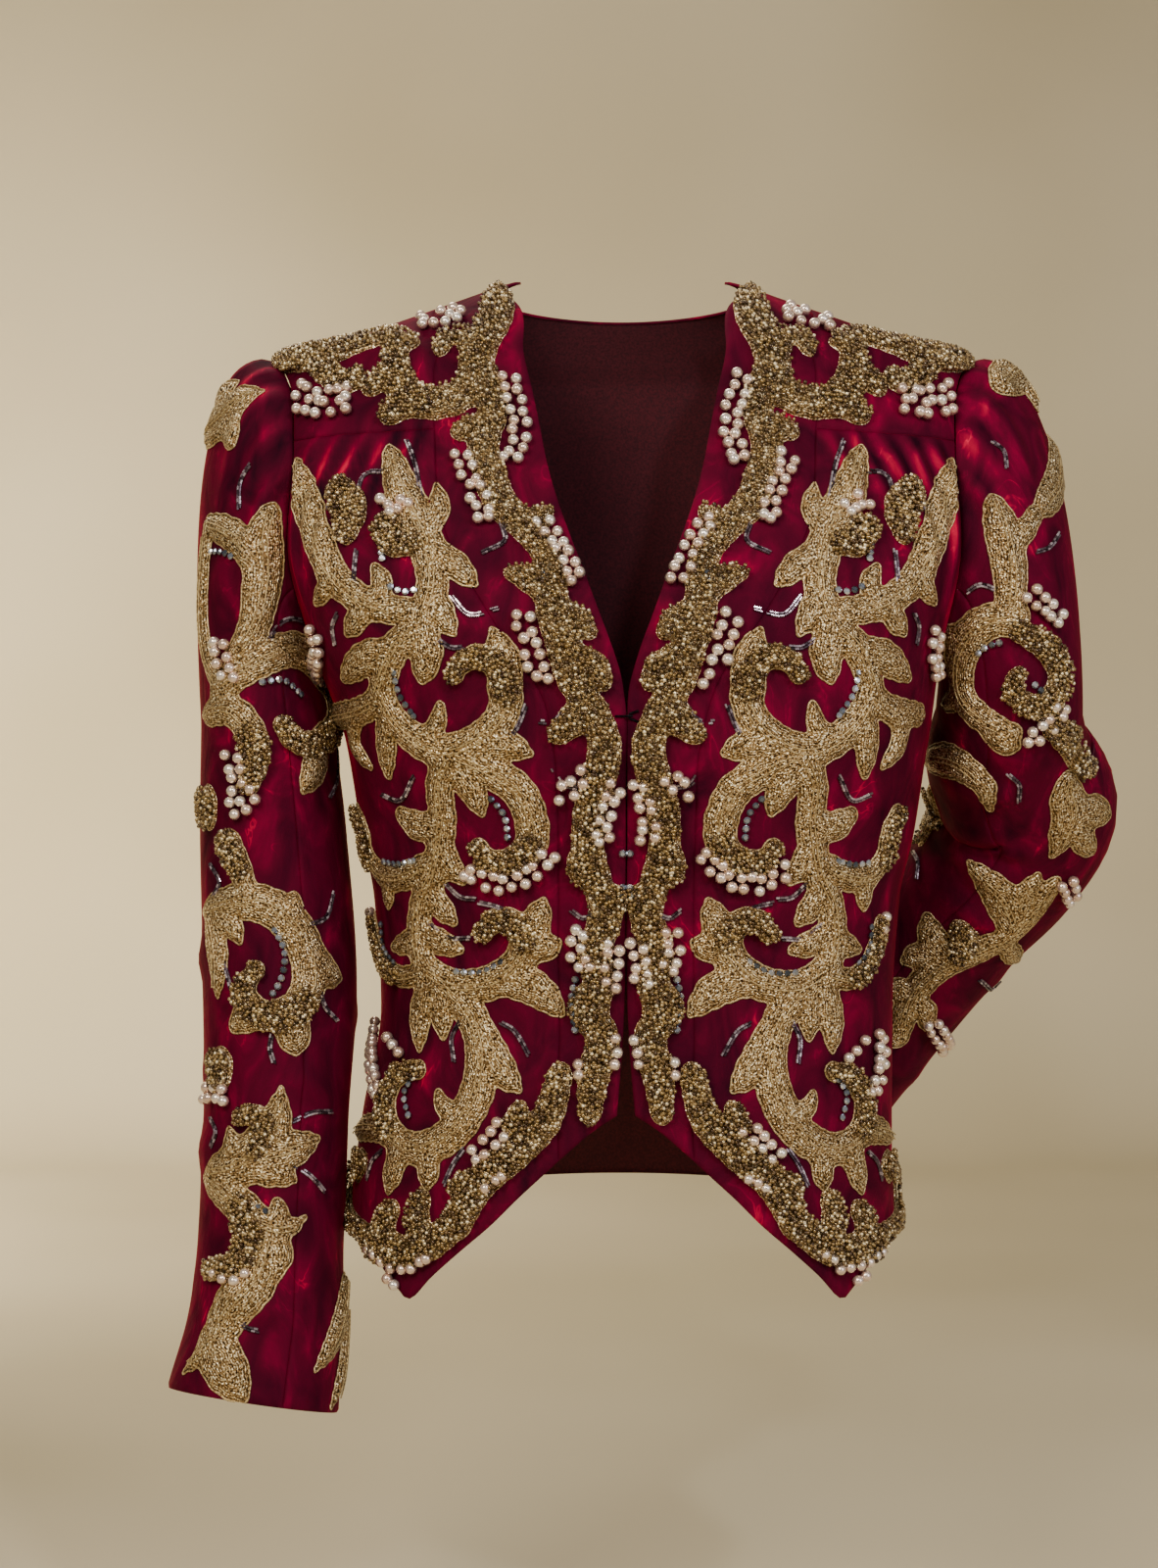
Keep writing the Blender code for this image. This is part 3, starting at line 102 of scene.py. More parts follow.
FRONT_HEM = [
    Edge(-557, 152), Edge(-568, 142), Edge(-582, 129), Edge(-587, 121), Edge(-573, 108), Edge(-558, 92),
    Edge(-543, 75), Edge(-527, 59),
]
SIDE_HEM_Z = -556.0
BACK_HEM_Z = -545.0
BACK_NECK_Z = -14.0

# The armhole as it shows from the side, by its angle from the top towards the front.
ARMHOLE_MIDDLE_Z = -144.5
ARMHOLE_HALF_HEIGHT = 93.5
ARMHOLE_FRONT = 55.0
ARMHOLE_BACK = 60.0
ARMHOLE_STEPS = 40
UNDERARM_Z = ARMHOLE_MIDDLE_Z - ARMHOLE_HALF_HEIGHT
YOKE_SEAM_STEP = 7
FRONT_SLEEVE_SEAM_STEP = 13
BACK_SLEEVE_SEAM_STEP = 28
LINE_PARTS = 10
HOLE_PARTS = 8

# How many points a straight seam starts with, before they are spaced evenly on the body.
BAND_SHOULDER_POINTS = 10
YOKE_POINTS = 30
SHOULDER_POINTS = 40
SIDE_SEAM_POINTS = 60
SLEEVE_SEAM_POINTS = 200
ROUND_THE_BODY_POINTS = 121

# Sleeve centre lines from the upper arm to the cuff, with the half width across and front to back.
Ring = namedtuple("Ring", "x y z across deep")
SLEEVE_RINGS = {
    RIGHT: [
        Ring(-211, 5, -262, 38.5, 59), Ring(-207, 2, -330, 43, 56), Ring(-202, -8, -414, 45, 52),
        Ring(-203, -20, -498, 42, 47), Ring(-204.5, -30, -560, 42, 45), Ring(-207, -38, -612, 45, 46),
        Ring(-213, -46, -652, 49.5, 48),
    ],
    LEFT: [
        Ring(231, 15, -257, 43, 57), Ring(234, 31, -284, 50, 53), Ring(250, 48, -312, 52, 50),
        Ring(238, 68, -343, 51, 49), Ring(211, 89, -378, 48, 48), Ring(172, 112, -433, 45, 46),
        Ring(134, 130, -488, 43.5, 45), Ring(97, 146, -543, 44, 44),
    ],
}

# How the sleeve head leaves the armhole: reach outwards, upwards and forwards, and pull at the upper arm.
Head = namedtuple("Head", "angle out up forward pull")
SLEEVE_HEAD = [
    Head(0, 185, 42, 0, 200), Head(45, 140, 10, 10, 170), Head(90, 75, -45, 12, 110),
    Head(135, 42, -12, 8, 55), Head(180, 25, 20, 0, 34),
]

# Soft folds: where each starts and ends on the pattern, its width and how far it stands out of the cloth.
# A fold rises over a quarter of its length and fades over the last three fifths.
Fold = namedtuple("Fold", "u1 v1 u2 v2 width height")
Crease = namedtuple("Crease", "degrees1 v1 degrees2 v2 width height")
FOLD_RISE = 4.0
FOLD_FADE = 1.6

# Applique strokes: points along the middle, x and z from the front, of the wearer's right side. Then the
# widths at the start, at the belly and at the end, and the share of the length from which beads cover it.
Stroke = namedtuple("Stroke", "points start belly end beads")
FRONT_SCROLLS = [
    Stroke([
        (-188, -112), (-180, -135), (-173, -160), (-161, -185), (-140, -200), (-121, -204),
    ], 0, 19, 15, 1),
    Stroke([
        (-133, -108), (-127, -129), (-117, -152), (-109, -172), (-107, -191), (-113, -215),
    ], 0, 20, 16, 1),
    Stroke([(-111, -160), (-104, -146), (-106, -130)], 10, 12, 0, 1),
    Stroke([(-109, -169), (-96, -177), (-82, -191)], 12, 15, 0, 1),
    Stroke([(-108, -191), (-102, -204), (-94, -218)], 12, 14, 0, 1),
    Stroke([(-114, -210), (-110, -228), (-113, -244)], 13, 19, 0, 1),
    Stroke([(-161, -183), (-169, -191), (-175, -198)], 10, 12, 0, 1),
    Stroke([(-143, -198), (-149, -207), (-156, -216)], 12, 14, 0, 1),
    Stroke([(-139, -200), (-135, -189), (-140, -177)], 9, 12, 2, 1),
    Stroke([(-113, -213), (-125, -221), (-133, -236), (-138, -251)], 14, 16, 14, 1),
    Stroke([(-128, -226), (-142, -228), (-159, -240)], 13, 18, 3, 1),
    Stroke([
        (-137, -244), (-129, -262), (-114, -276), (-97, -281), (-81, -275), (-69, -263), (-65, -247),
        (-70, -234), (-80, -229), (-91, -233), (-95, -240),
    ], 13, 18, 9, 0.7),
    Stroke([(-68, -252), (-67, -231), (-74, -213)], 14, 18, 0, 1),
    Stroke([(-114, -275), (-105, -267), (-102, -254)], 10, 11, 3, 1),
    Stroke([(-134, -263), (-134, -280), (-133, -295)], 12, 15, 3, 1),
    Stroke([(-136, -252), (-150, -258), (-167, -260)], 13, 15, 12, 1),
    Stroke([(-152, -258), (-154, -275), (-143, -290)], 11, 14, 2, 1),
    Stroke([(-92, -281), (-70, -277), (-51, -283)], 16, 19, 0, 1),
    Stroke([
        (-97, -282), (-75, -292), (-59, -303), (-52, -320), (-53, -334), (-64, -342), (-76, -341),
        (-82, -333),
    ], 15, 18, 9, 0.68),
    Stroke([(-95, -288), (-85, -302), (-79, -317)], 14, 16, 0, 1),
    Stroke([
        (-94, -280), (-103, -299), (-102, -321), (-106, -346), (-115, -368), (-116, -392), (-110, -410),
    ], 18, 16, 17, 1),
    Stroke([(-103, -324), (-117, -322), (-126, -316)], 13, 17, 8, 1),
    Stroke([(-103, -333), (-97, -345), (-90, -354)], 11, 14, 2, 1),
    Stroke([(-111, -357), (-103, -368), (-95, -377)], 12, 14, 2, 1),
    Stroke([(-115, -382), (-103, -388), (-91, -392)], 12, 14, 2, 1),
    Stroke([(-114, -382), (-123, -389), (-133, -393)], 11, 13, 2, 1),
    Stroke([
        (-108, -343), (-124, -351), (-138, -351), (-147, -339), (-149, -326), (-154, -315),
    ], 13, 15, 11, 0.66),
    Stroke([(-136, -350), (-135, -360), (-135, -371)], 11, 13, 0, 1),
    Stroke([
        (-113, -403), (-96, -412), (-76, -410), (-61, -400), (-55, -386), (-62, -376), (-73, -375),
        (-80, -383),
    ], 15, 18, 9, 0.7),
    Stroke([(-58, -390), (-51, -378), (-45, -362)], 13, 17, 0, 1),
    Stroke([(-58, -390), (-47, -390), (-36, -386)], 13, 15, 0, 1),
    Stroke([(-73, -407), (-51, -412), (-34, -428)], 15, 19, 0, 1),
    Stroke([(-112, -405), (-127, -409), (-136, -403), (-142, -390), (-145, -377)], 12, 12, 8, 0.35),
    Stroke([
        (-107, -407), (-89, -424), (-80, -447), (-84, -474), (-97, -494), (-116, -504), (-131, -498),
        (-135, -481), (-128, -465), (-115, -460),
    ], 17, 19, 9, 0.76),
    Stroke([(-82, -436), (-71, -456), (-58, -470)], 15, 19, 0, 1),
    Stroke([(-112, -412), (-116, -432), (-116, -451)], 13, 16, 0, 1),
    Stroke([(-102, -415), (-103, -429), (-102, -443)], 12, 14, 0, 1),
    Stroke([(-126, -502), (-140, -496), (-156, -506)], 12, 15, 0, 1),
    Stroke([(-126, -503), (-131, -518), (-134, -531)], 13, 16, 0, 1),
    Stroke([(-111, -503), (-110, -514), (-111, -526)], 12, 14, 0, 1),
    Stroke([(-90, -485), (-102, -479), (-105, -471)], 10, 11, 3, 1),
]
HEM_BORDER = [
    Stroke([(-161, -132), (-154, -145), (-156, -162)], 10, 19, 9, 0),
    Stroke([(-135, -155), (-127, -164), (-116, -166)], 10, 19, 9, 0),
    Stroke([(-159, -530), (-160, -550), (-142, -560), (-115, -559), (-92, -541)], 15, 19, 16, 0),
    Stroke([(-95, -545), (-81, -520), (-60, -501), (-44, -484), (-36, -458)], 16, 19, 13, 0),
    Stroke([(-134, -557), (-135, -547), (-130, -537)], 12, 15, 9, 0),
    Stroke([(-112, -555), (-116, -541), (-113, -528)], 12, 15, 9, 0),
    Stroke([(-87, -534), (-92, -525), (-90, -517)], 11, 13, 8, 0),
    Stroke([(-56, -496), (-62, -487), (-58, -477)], 11, 13, 8, 0),
    Stroke([(-154, -526), (-150, -517), (-153, -513)], 10, 12, 7, 0),
]
BAND_VINE = [
    Stroke([(-69, -10), (-74, -29), (-82, -47), (-84, -63), (-76, -77), (-75, -95)], 12, 21, 15, 0),
    Stroke([
        (-75, -92), (-80, -107), (-76, -126), (-69, -143), (-55, -157), (-45, -170), (-39, -189),
    ], 15, 18, 14, 0),
    Stroke([(-76, -104), (-86, -98), (-95, -101)], 12, 16, 9, 0),
    Stroke([(-49, -162), (-49, -153), (-43, -146)], 10, 13, 7, 0),
    Stroke([(-41, -185), (-41, -199), (-35, -220), (-29, -242), (-18, -260)], 14, 19, 15, 0),
    Stroke([(-42, -195), (-55, -185), (-67, -182)], 11, 16, 3, 0),
    Stroke([(-37, -203), (-26, -210), (-18, -219)], 11, 15, 2, 0),
    Stroke([(-28, -242), (-25, -231), (-17, -234), (-12, -245)], 11, 14, 9, 0),
    Stroke([(-21, -254), (-30, -265), (-39, -273)], 12, 17, 10, 0),
    Stroke([(-19, -257), (-12, -278), (-15, -296), (-20, -314), (-21, -332), (-16, -352)], 15, 18, 15, 0),
    Stroke([(-18, -349), (-11, -371), (-17, -390), (-15, -410), (-21, -432)], 14, 18, 15, 0),
    Stroke([(-21, -335), (-27, -343), (-24, -353)], 10, 13, 7, 0),
    Stroke([(-14, -363), (-5, -360), (-3, -367)], 9, 12, 6, 0),
    Stroke([(-19, -424), (-13, -442), (-18, -460), (-20, -483)], 14, 18, 11, 0),
    Stroke([(-18, -413), (-25, -419), (-27, -429)], 10, 13, 7, 0),
]
YOKE_SCROLL = [
    Stroke([(-199, -48), (-176, -50), (-156, -45), (-135, -41), (-122, -46)], 11, 21, 12, 0),
    Stroke([(-179, -53), (-168, -65), (-155, -70), (-152, -63)], 12, 15, 8, 0),
    Stroke([
        (-129, -47), (-130, -65), (-121, -80), (-106, -83), (-90, -76), (-84, -59), (-89, -44), (-100, -43),
        (-105, -52),
    ], 13, 20, 9, 0),
    Stroke([(-120, -81), (-129, -86), (-136, -92)], 14, 18, 6, 0),
    Stroke([(-131, -64), (-140, -69), (-147, -76)], 11, 15, 5, 0),
]

# Sleeve strokes have the angle round the arm in degrees in place of x, and the height on the pattern as z.
SLEEVE_VINE = [
    Stroke([(1, 151), (23, 163), (37, 191)], 10, 27, 0, 1),
    Stroke([(21, 166), (34, 154), (42, 143)], 16, 19, 5, 1),
    Stroke([(20, 161), (11, 178), (16, 191)], 12, 16, 0, 1),
    Stroke([(82, 121), (88, 98), (99, 72), (95, 50), (74, 32)], 0, 21, 15, 1),
    Stroke([(88, 80), (65, 92), (32, 102)], 12, 18, 10, 1),
    Stroke([(33, 99), (32, 78), (35, 52), (48, 30), (68, 17)], 12, 13, 13, 1),
    Stroke([
        (54, 16), (83, 26), (114, 32), (146, 33), (178, 27), (175, 1), (142, -16), (120, -15), (111, -5),
    ], 14, 20, 9, 0.66),
    Stroke([(151, -11), (140, -28), (123, -46)], 15, 20, 0, 1),
    Stroke([(39, 4), (69, 4), (85, -9), (89, -25), (82, -41)], 12, 17, 9, 0.6),
    Stroke([(38, -43), (40, -51), (41, -60)], 10, 20, 10, 0),
    Stroke([(75, -110), (72, -92), (63, -73)], 14, 13, 15, 0.5),
    Stroke([
        (36, -113), (74, -110), (99, -118), (116, -137), (119, -158), (106, -174), (85, -176), (71, -162),
        (81, -149),
    ], 15, 21, 9, 0.66),
    Stroke([(99, -121), (107, -116), (111, -107)], 12, 13, 0, 1),
    Stroke([(116, -138), (131, -151), (148, -155)], 15, 19, 0, 1),
    Stroke([(102, -173), (108, -186), (110, -198)], 15, 20, 0, 1),
    Stroke([(85, -176), (73, -177), (61, -184)], 13, 17, 2, 1),
    Stroke([(40, -115), (46, -138), (46, -166)], 14, 18, 0, 1),
    Stroke([(47, -118), (63, -125), (69, -135)], 11, 13, 0, 1),
    Stroke([(47, -200), (49, -208), (47, -216)], 10, 19, 10, 0),
    Stroke([(40, -267), (74, -260), (95, -242), (101, -216)], 12, 25, 0, 1),
    Stroke([(71, -261), (104, -254), (134, -245)], 15, 22, 0, 1),
    Stroke([(74, -263), (99, -266), (115, -270)], 12, 16, 0, 1),
    Stroke([(52, -264), (63, -253), (59, -240)], 11, 13, 0, 1),
    Stroke([(83, -255), (89, -240), (78, -232), (69, -236)], 10, 13, 9, 0),
    Stroke([(37, -269), (67, -282), (90, -295), (107, -297), (125, -289)], 13, 19, 0, 1),
    Stroke([(95, -296), (104, -309), (104, -323)], 13, 15, 0, 1),
    Stroke([(93, -295), (102, -290), (100, -281)], 9, 12, 3, 1),
    Stroke([(61, -276), (76, -290), (79, -306), (68, -317), (49, -320)], 10, 15, 11, 0.2),
    Stroke([(96, -297), (88, -322), (70, -343), (58, -368), (38, -386)], 8, 25, 0, 1),
    Stroke([(56, -362), (74, -378), (90, -392)], 15, 26, 5, 1),
    Stroke([(180, -323), (167, -345), (137, -373)], 6, 18, 0, 1),
    Stroke([(180, -338), (180, -365), (158, -393)], 8, 15, 0, 1),
]
SLEEVE_VINE_LEFT = [
    Stroke([(28, 200), (4, 194), (6, 166)], 10, 24, 2, 1),
    Stroke([(6, 190), (-8, 186), (-20, 176)], 12, 16, 0, 1),
    Stroke([(42, 125), (14, 130), (-12, 148)], 12, 21, 2, 1),
    Stroke([(72, 146), (74, 122), (78, 102), (89, 78)], 0, 21, 16, 1),
    Stroke([(75, 114), (62, 118), (48, 124)], 10, 13, 10, 1),
    Stroke([(80, 81), (111, 75), (135, 53), (140, 32), (120, 25), (96, 21)], 15, 21, 10, 1),
    Stroke([(135, 51), (134, 64), (133, 78)], 12, 15, 0, 1),
    Stroke([(137, 33), (152, 22), (169, 12)], 11, 13, 0, 1),
    Stroke([(115, 25), (105, 16), (93, 12)], 14, 17, 0, 1),
    Stroke([(85, 76), (63, 63), (54, 45), (74, 35), (95, 44), (88, 54)], 11, 16, 9, 0),
    Stroke([(67, 23), (45, -2), (32, -45)], 12, 18, 7, 0),
    Stroke([(55, -17), (63, -52), (75, -61), (85, -72)], 4, 24, 2, 1),
    Stroke([(67, -57), (52, -60), (34, -66)], 14, 20, 0, 1),
    Stroke([(69, -61), (60, -69), (50, -74)], 12, 15, 0, 1),
    Stroke([(75, -87), (76, -121), (82, -148), (95, -176), (97, -206), (85, -235)], 10, 18, 14, 1),
    Stroke([(78, -124), (105, -107), (133, -99)], 14, 22, 0, 1),
    Stroke([(79, -122), (86, -104), (89, -83)], 13, 18, 0, 1),
    Stroke([(75, -136), (42, -149), (29, -153)], 11, 13, 0, 1),
    Stroke([(93, -171), (114, -164), (129, -154)], 13, 19, 4, 1),
    Stroke([(95, -176), (112, -179), (120, -191)], 12, 16, 0, 1),
    Stroke([(92, -164), (98, -148), (110, -145)], 10, 16, 9, 0),
    Stroke([(98, -205), (80, -210), (67, -221)], 11, 14, 0, 1),
    Stroke([(98, -207), (111, -207), (116, -212)], 11, 14, 0, 1),
    Stroke([(175, -23), (136, -11), (115, -18), (111, -32)], 8, 19, 2, 1),
    Stroke([(176, -34), (182, -62), (188, -92), (182, -130)], 10, 17, 9, 0),
]

# How strokes are made up. Lobes show on strokes over LOBED_FROM wide, veins on those over VEINED_FROM long.
STROKE_STEP = 1.6
LOBE_PITCH = 8.5
LOBE_REACH = 1.7
LOBED_FROM = 9.0
LOBED_FULLY = 15.0
VEINED_FROM = 48.0
JOIN = 2.2

# How applique stands: its height, the slope at its rim, and the crown that grows towards its middle.
GOLD_LIFT = 2.6
BEADED_LIFT = 3.2
GROUND_SINK = 1.0
RIM_SLOPE = 3.2
RIM_SINK = 0.3
CROWN = 0.9
CROWN_DEPTH = 8.0
APPLIQUE_STEP = 1.8
ROW_PITCH = 1.35

# Cords: the one round each applique and the pairs that make a vein.
EDGE_CORD_RADIUS = 0.6
EDGE_CORD_HEIGHT = 0.55
VEIN_RADIUS = 0.45
VEIN_HEIGHT = 1.1
VEIN_OFFSETS = (-1.3, 1.3)
VEIN_CLEAR = 1.6
VEIN_FIRST = 0.04
VEIN_LAST = 0.92

# How far from a piece's edge cords and jewels stay, and how seed beads heap up and differ in size.
SEAM_CLEAR = 1.5
BEAD_CLEAR = 0.4
BEAD_HEAP = 0.9
BEAD_HEAP_DEPTH = 4
BEAD_LOOSE = 0.9
BEAD_UNEVEN = 0.12
FIRST_SEED = 40
STONE_PITCH = 4.8
STONE_RISE = 1.6

# Rows of pearls, stones and bugle beads: points along the row, and how many lie abreast.
Run = namedtuple("Run", "points abreast")
FRONT_PEARLS = [
    Run([(-88, -346), (-75, -353), (-62, -353), (-49, -346), (-42, -337)], 2),
    Run([(-134, -147), (-130, -142), (-123, -146)], 2), Run([(-174, -212), (-173, -225), (-176, -238)], 2),
    Run([(-146, -374), (-145, -385)], 1), Run([(-144, -442), (-144, -459), (-139, -476)], 2),
    Run([(-133, -445), (-125, -453)], 1), Run([(-154, -563), (-141, -570), (-128, -579)], 1),
    Run([(-143, -564), (-131, -570), (-120, -570), (-110, -562)], 1),
    Run([(-84, -506), (-75, -499), (-67, -489)], 2), Run([(-77, -523), (-67, -516)], 1),
]
BAND_PEARLS = [
    Run([(-66, -68), (-62, -83), (-59, -100), (-64, -118)], 2),
    Run([(-91, -114), (-87, -129), (-81, -142), (-78, -153)], 2),
    Run([(-48, -154), (-40, -162), (-34, -173), (-28, -188)], 2),
    Run([(-57, -206), (-54, -219), (-51, -230), (-44, -246)], 2),
    Run([(-37, -303), (-30, -301), (-22, -294)], 2),
    Run([(-6, -298), (-10, -310), (-13, -321), (-11, -330)], 2),
    Run([(-25, -379), (-27, -390), (-23, -401)], 2), Run([(-6, -386), (-8, -399), (-9, -411)], 2),
    Run([(-5, -440), (-6, -454)], 1), Run([(-26, -453), (-27, -464)], 1),
]
YOKE_PEARLS = [
    Run([(-188, -76), (-172, -82), (-157, -80)], 3), Run([(-117, -33), (-106, -31), (-95, -28)], 3),
]
SLEEVE_PEARLS = [
    Run([(61, 43), (64, 33), (70, 21)], 2), Run([(71, -21), (74, -32), (76, -43)], 2),
    Run([(75, -46), (81, -55)], 3), Run([(32, -221), (56, -222)], 2),
    Run([(54, -322), (71, -325), (81, -320)], 1),
]
FRONT_STONES = [
    Run([(-130, -190), (-123, -193), (-116, -192)], 1), Run([(-128, -237), (-125, -249), (-117, -261)], 1),
    Run([(-74, -307), (-67, -316), (-65, -330)], 1), Run([(-136, -343), (-128, -344), (-118, -342)], 1),
    Run([(-94, -404), (-80, -404), (-67, -397)], 1), Run([(-139, -380), (-138, -392), (-131, -401)], 1),
    Run([(-119, -465), (-124, -474), (-121, -487)], 1), Run([(-134, -157), (-136, -166), (-135, -174)], 1),
]
BAND_STONES = [
    Run([(-43, -179), (-46, -191), (-41, -201)], 1), Run([(-2, -337), (-1, -349), (-3, -362)], 1),
    Run([(-28, -407), (-30, -418), (-28, -435)], 1),
]
SLEEVE_STONES = [
    Run([(42, 87), (56, 85), (66, 82)], 1), Run([(98, 18), (116, 18), (131, 10)], 1),
    Run([(95, -128), (101, -140), (98, -156), (91, -166)], 1), Run([(86, -285), (94, -288)], 1),
]
FRONT_TENDRILS = [
    Run([(-166, -145), (-162, -138), (-159, -131)], 2), Run([(-150, -135), (-147, -126), (-137, -124)], 2),
    Run([(-123, -106), (-118, -120), (-114, -139)], 2), Run([(-150, -169), (-151, -188)], 2),
    Run([(-96, -196), (-86, -206), (-71, -203)], 2), Run([(-103, -220), (-96, -224), (-90, -224)], 2),
    Run([(-68, -277), (-61, -270), (-55, -256)], 2), Run([(-137, -305), (-126, -308), (-118, -295)], 2),
    Run([(-100, -355), (-92, -362), (-84, -363)], 2), Run([(-81, -365), (-72, -367), (-63, -371)], 2),
    Run([(-109, -378), (-100, -385), (-87, -385)], 2), Run([(-92, -431), (-97, -441), (-96, -454)], 2),
    Run([(-138, -508), (-144, -515), (-147, -525)], 2), Run([(-90, -502), (-96, -511), (-101, -522)], 2),
    Run([(-161, -204), (-164, -211), (-163, -220)], 2), Run([(-69, -432), (-62, -436), (-54, -449)], 2),
]
BAND_TENDRILS = [
    Run([(-69, -155), (-67, -164), (-79, -171)], 2), Run([(-47, -265), (-41, -265), (-33, -259)], 2),
    Run([(-40, -291), (-35, -299), (-27, -301)], 2), Run([(-30, -369), (-24, -373), (-18, -371)], 2),
]
SLEEVE_TENDRILS = [
    Run([(60, 134), (58, 122), (62, 108)], 2), Run([(108, 39), (123, 51), (130, 57)], 2),
    Run([(180, -19), (169, -35), (151, -48)], 2), Run([(119, -126), (135, -121), (144, -107)], 2),
    Run([(127, -162), (132, -171), (144, -178)], 2), Run([(92, -188), (91, -195), (94, -203)], 2),
    Run([(42, -85), (52, -97), (43, -105)], 2), Run([(50, -139), (56, -150), (60, -160)], 2),
    Run([(111, -236), (126, -231), (144, -230)], 2), Run([(114, -262), (126, -267), (139, -275)], 2),
    Run([(78, -343), (82, -352), (92, -354)], 2), Run([(37, -235), (46, -243), (41, -251)], 2),
]
SLEEVE_PEARLS_LEFT = [
    Run([(71, 91), (60, 83), (50, 73)], 2), Run([(88, 19), (72, 22), (58, 31)], 2),
    Run([(72, -212), (52, -221), (23, -232)], 2), Run([(68, -85), (50, -97)], 2),
]
SLEEVE_STONES_LEFT = [
    Run([(67, -64), (60, -65)], 1), Run([(119, 58), (112, 63), (101, 67)], 1), Run([(77, 47), (72, 43)], 1),
]
SLEEVE_TENDRILS_LEFT = [
    Run([(55, 173), (52, 163), (56, 154)], 2), Run([(114, 96), (106, 98), (96, 95)], 2),
    Run([(55, 107), (44, 106), (30, 108)], 2), Run([(180, -139), (166, -138), (156, -144)], 2),
    Run([(60, -173), (25, -181), (26, -175)], 2), Run([(100, -9), (92, -16), (92, -27)], 2),
]


def through(at, values, level_peaks=True):
    """A cubic through values that never overshoots, because it is level at its peaks.

    With level_peaks off, its slope is the weighted mean of the slopes beside it, and it is rounder.
    """
    at = np.array(at, float)
    values = np.array(values, float)
    order = np.argsort(at)
    at = at[order]
    values = values[order]
    step = np.diff(at)
    rise = np.diff(values) / step
    slope = np.zeros(len(at))
    slope[0] = rise[0]
    slope[-1] = rise[-1]
    if level_peaks:
        same = rise[:-1] * rise[1:] > 0
        slope[1:-1] = np.where(same, 2 * rise[:-1] * rise[1:] / np.where(same, rise[:-1] + rise[1:], 1), 0)
    else:
        slope[1:-1] = (rise[:-1] * step[1:] + rise[1:] * step[:-1]) / (step[:-1] + step[1:])

    def read(x):
        x = np.asarray(x, float)
        i = np.clip(np.searchsorted(at, x, side="right") - 1, 0, len(at) - 2)
        t = np.clip((x - at[i]) / step[i], 0, 1)
        rest = 1 - t
        ends = values[i] * (1 + 2 * t) * rest**2 + values[i + 1] * t**2 * (3 - 2 * t)
        return ends + step[i] * (slope[i] * t * rest**2 - slope[i + 1] * t**2 * rest)

    return read


def unit(vectors):
    """Vectors of length one."""
    return vectors / np.maximum(np.linalg.norm(vectors, axis=-1, keepdims=True), 1e-12)


def soft_step(t):
    """0 below 0, 1 above 1, and smooth between them."""
    t = np.clip(t, 0, 1)
    return t * t * (3 - 2 * t)


class Surface:
    """Carries a flat pattern (u, v) onto the body; folds and what is sewn on stand on its normals."""

    def __init__(self, folds=()):
        self.folds = list(folds)

    def normal(self, u, v):
        """The outward normal, from the differences across a small step each way."""
        small = 0.4
        along_u = self.base(u + small, v) - self.base(u - small, v)
        along_v = self.base(u, v + small) - self.base(u, v - small)
        return unit(np.cross(along_u, along_v))

    def fold(self, u, v):
        """Each fold is a soft ridge that tapers to its ends: its height times a bell across and along."""
        total = np.zeros(np.shape(u))
        for f in self.folds:
            run = np.array([f.u2 - f.u1, f.v2 - f.v1])
            length = np.hypot(*run)
            t = ((u - f.u1) * run[0] + (v - f.v1) * run[1]) / length**2
            off = ((u - f.u1) * run[1] - (v - f.v1) * run[0]) / length
            along = soft_step(t * FOLD_RISE) * soft_step((1 - t) * FOLD_FADE)
            total = total + f.height * along * np.exp(-((off / f.width) ** 2))
        return total

    def raised(self, u, v, height=0.0):
        """The point on the cloth's outside, moved out by its fold and the height."""
        u = np.asarray(u, float)
        v = np.asarray(v, float)
        out = self.fold(u, v) + height
        return self.base(u, v) + self.normal(u, v) * np.asarray(out)[..., None]

    def frame_at(self, u, v):
        """Unit vectors right and up on the body, the outward normal, and how far each unit of u, v goes."""
        small = 0.5
        right = (self.base(u + small, v) - self.base(u - small, v)) / (2 * small)
        up = (self.base(u, v + small) - self.base(u, v - small)) / (2 * small)
        normal = unit(np.cross(right, up))
        across = unit(right)
        return across, np.cross(normal, across), normal, right, up

    def step(self, u, v, heading, length):
        """Pattern points a short way off in a heading on the body: the two by two system is solved."""
        across, rise, _, right, up = self.frame_at(u, v)
        turn = np.radians(heading)
        move = length[..., None] * (np.cos(turn)[..., None] * across + np.sin(turn)[..., None] * rise)
        a = (right * right).sum(-1)
        b = (right * up).sum(-1)
        c = (up * up).sum(-1)
        p = (move * right).sum(-1)
        q = (move * up).sum(-1)
        lean = a * c - b * b
        return u + (c * p - b * q) / lean, v + (a * q - b * p) / lean


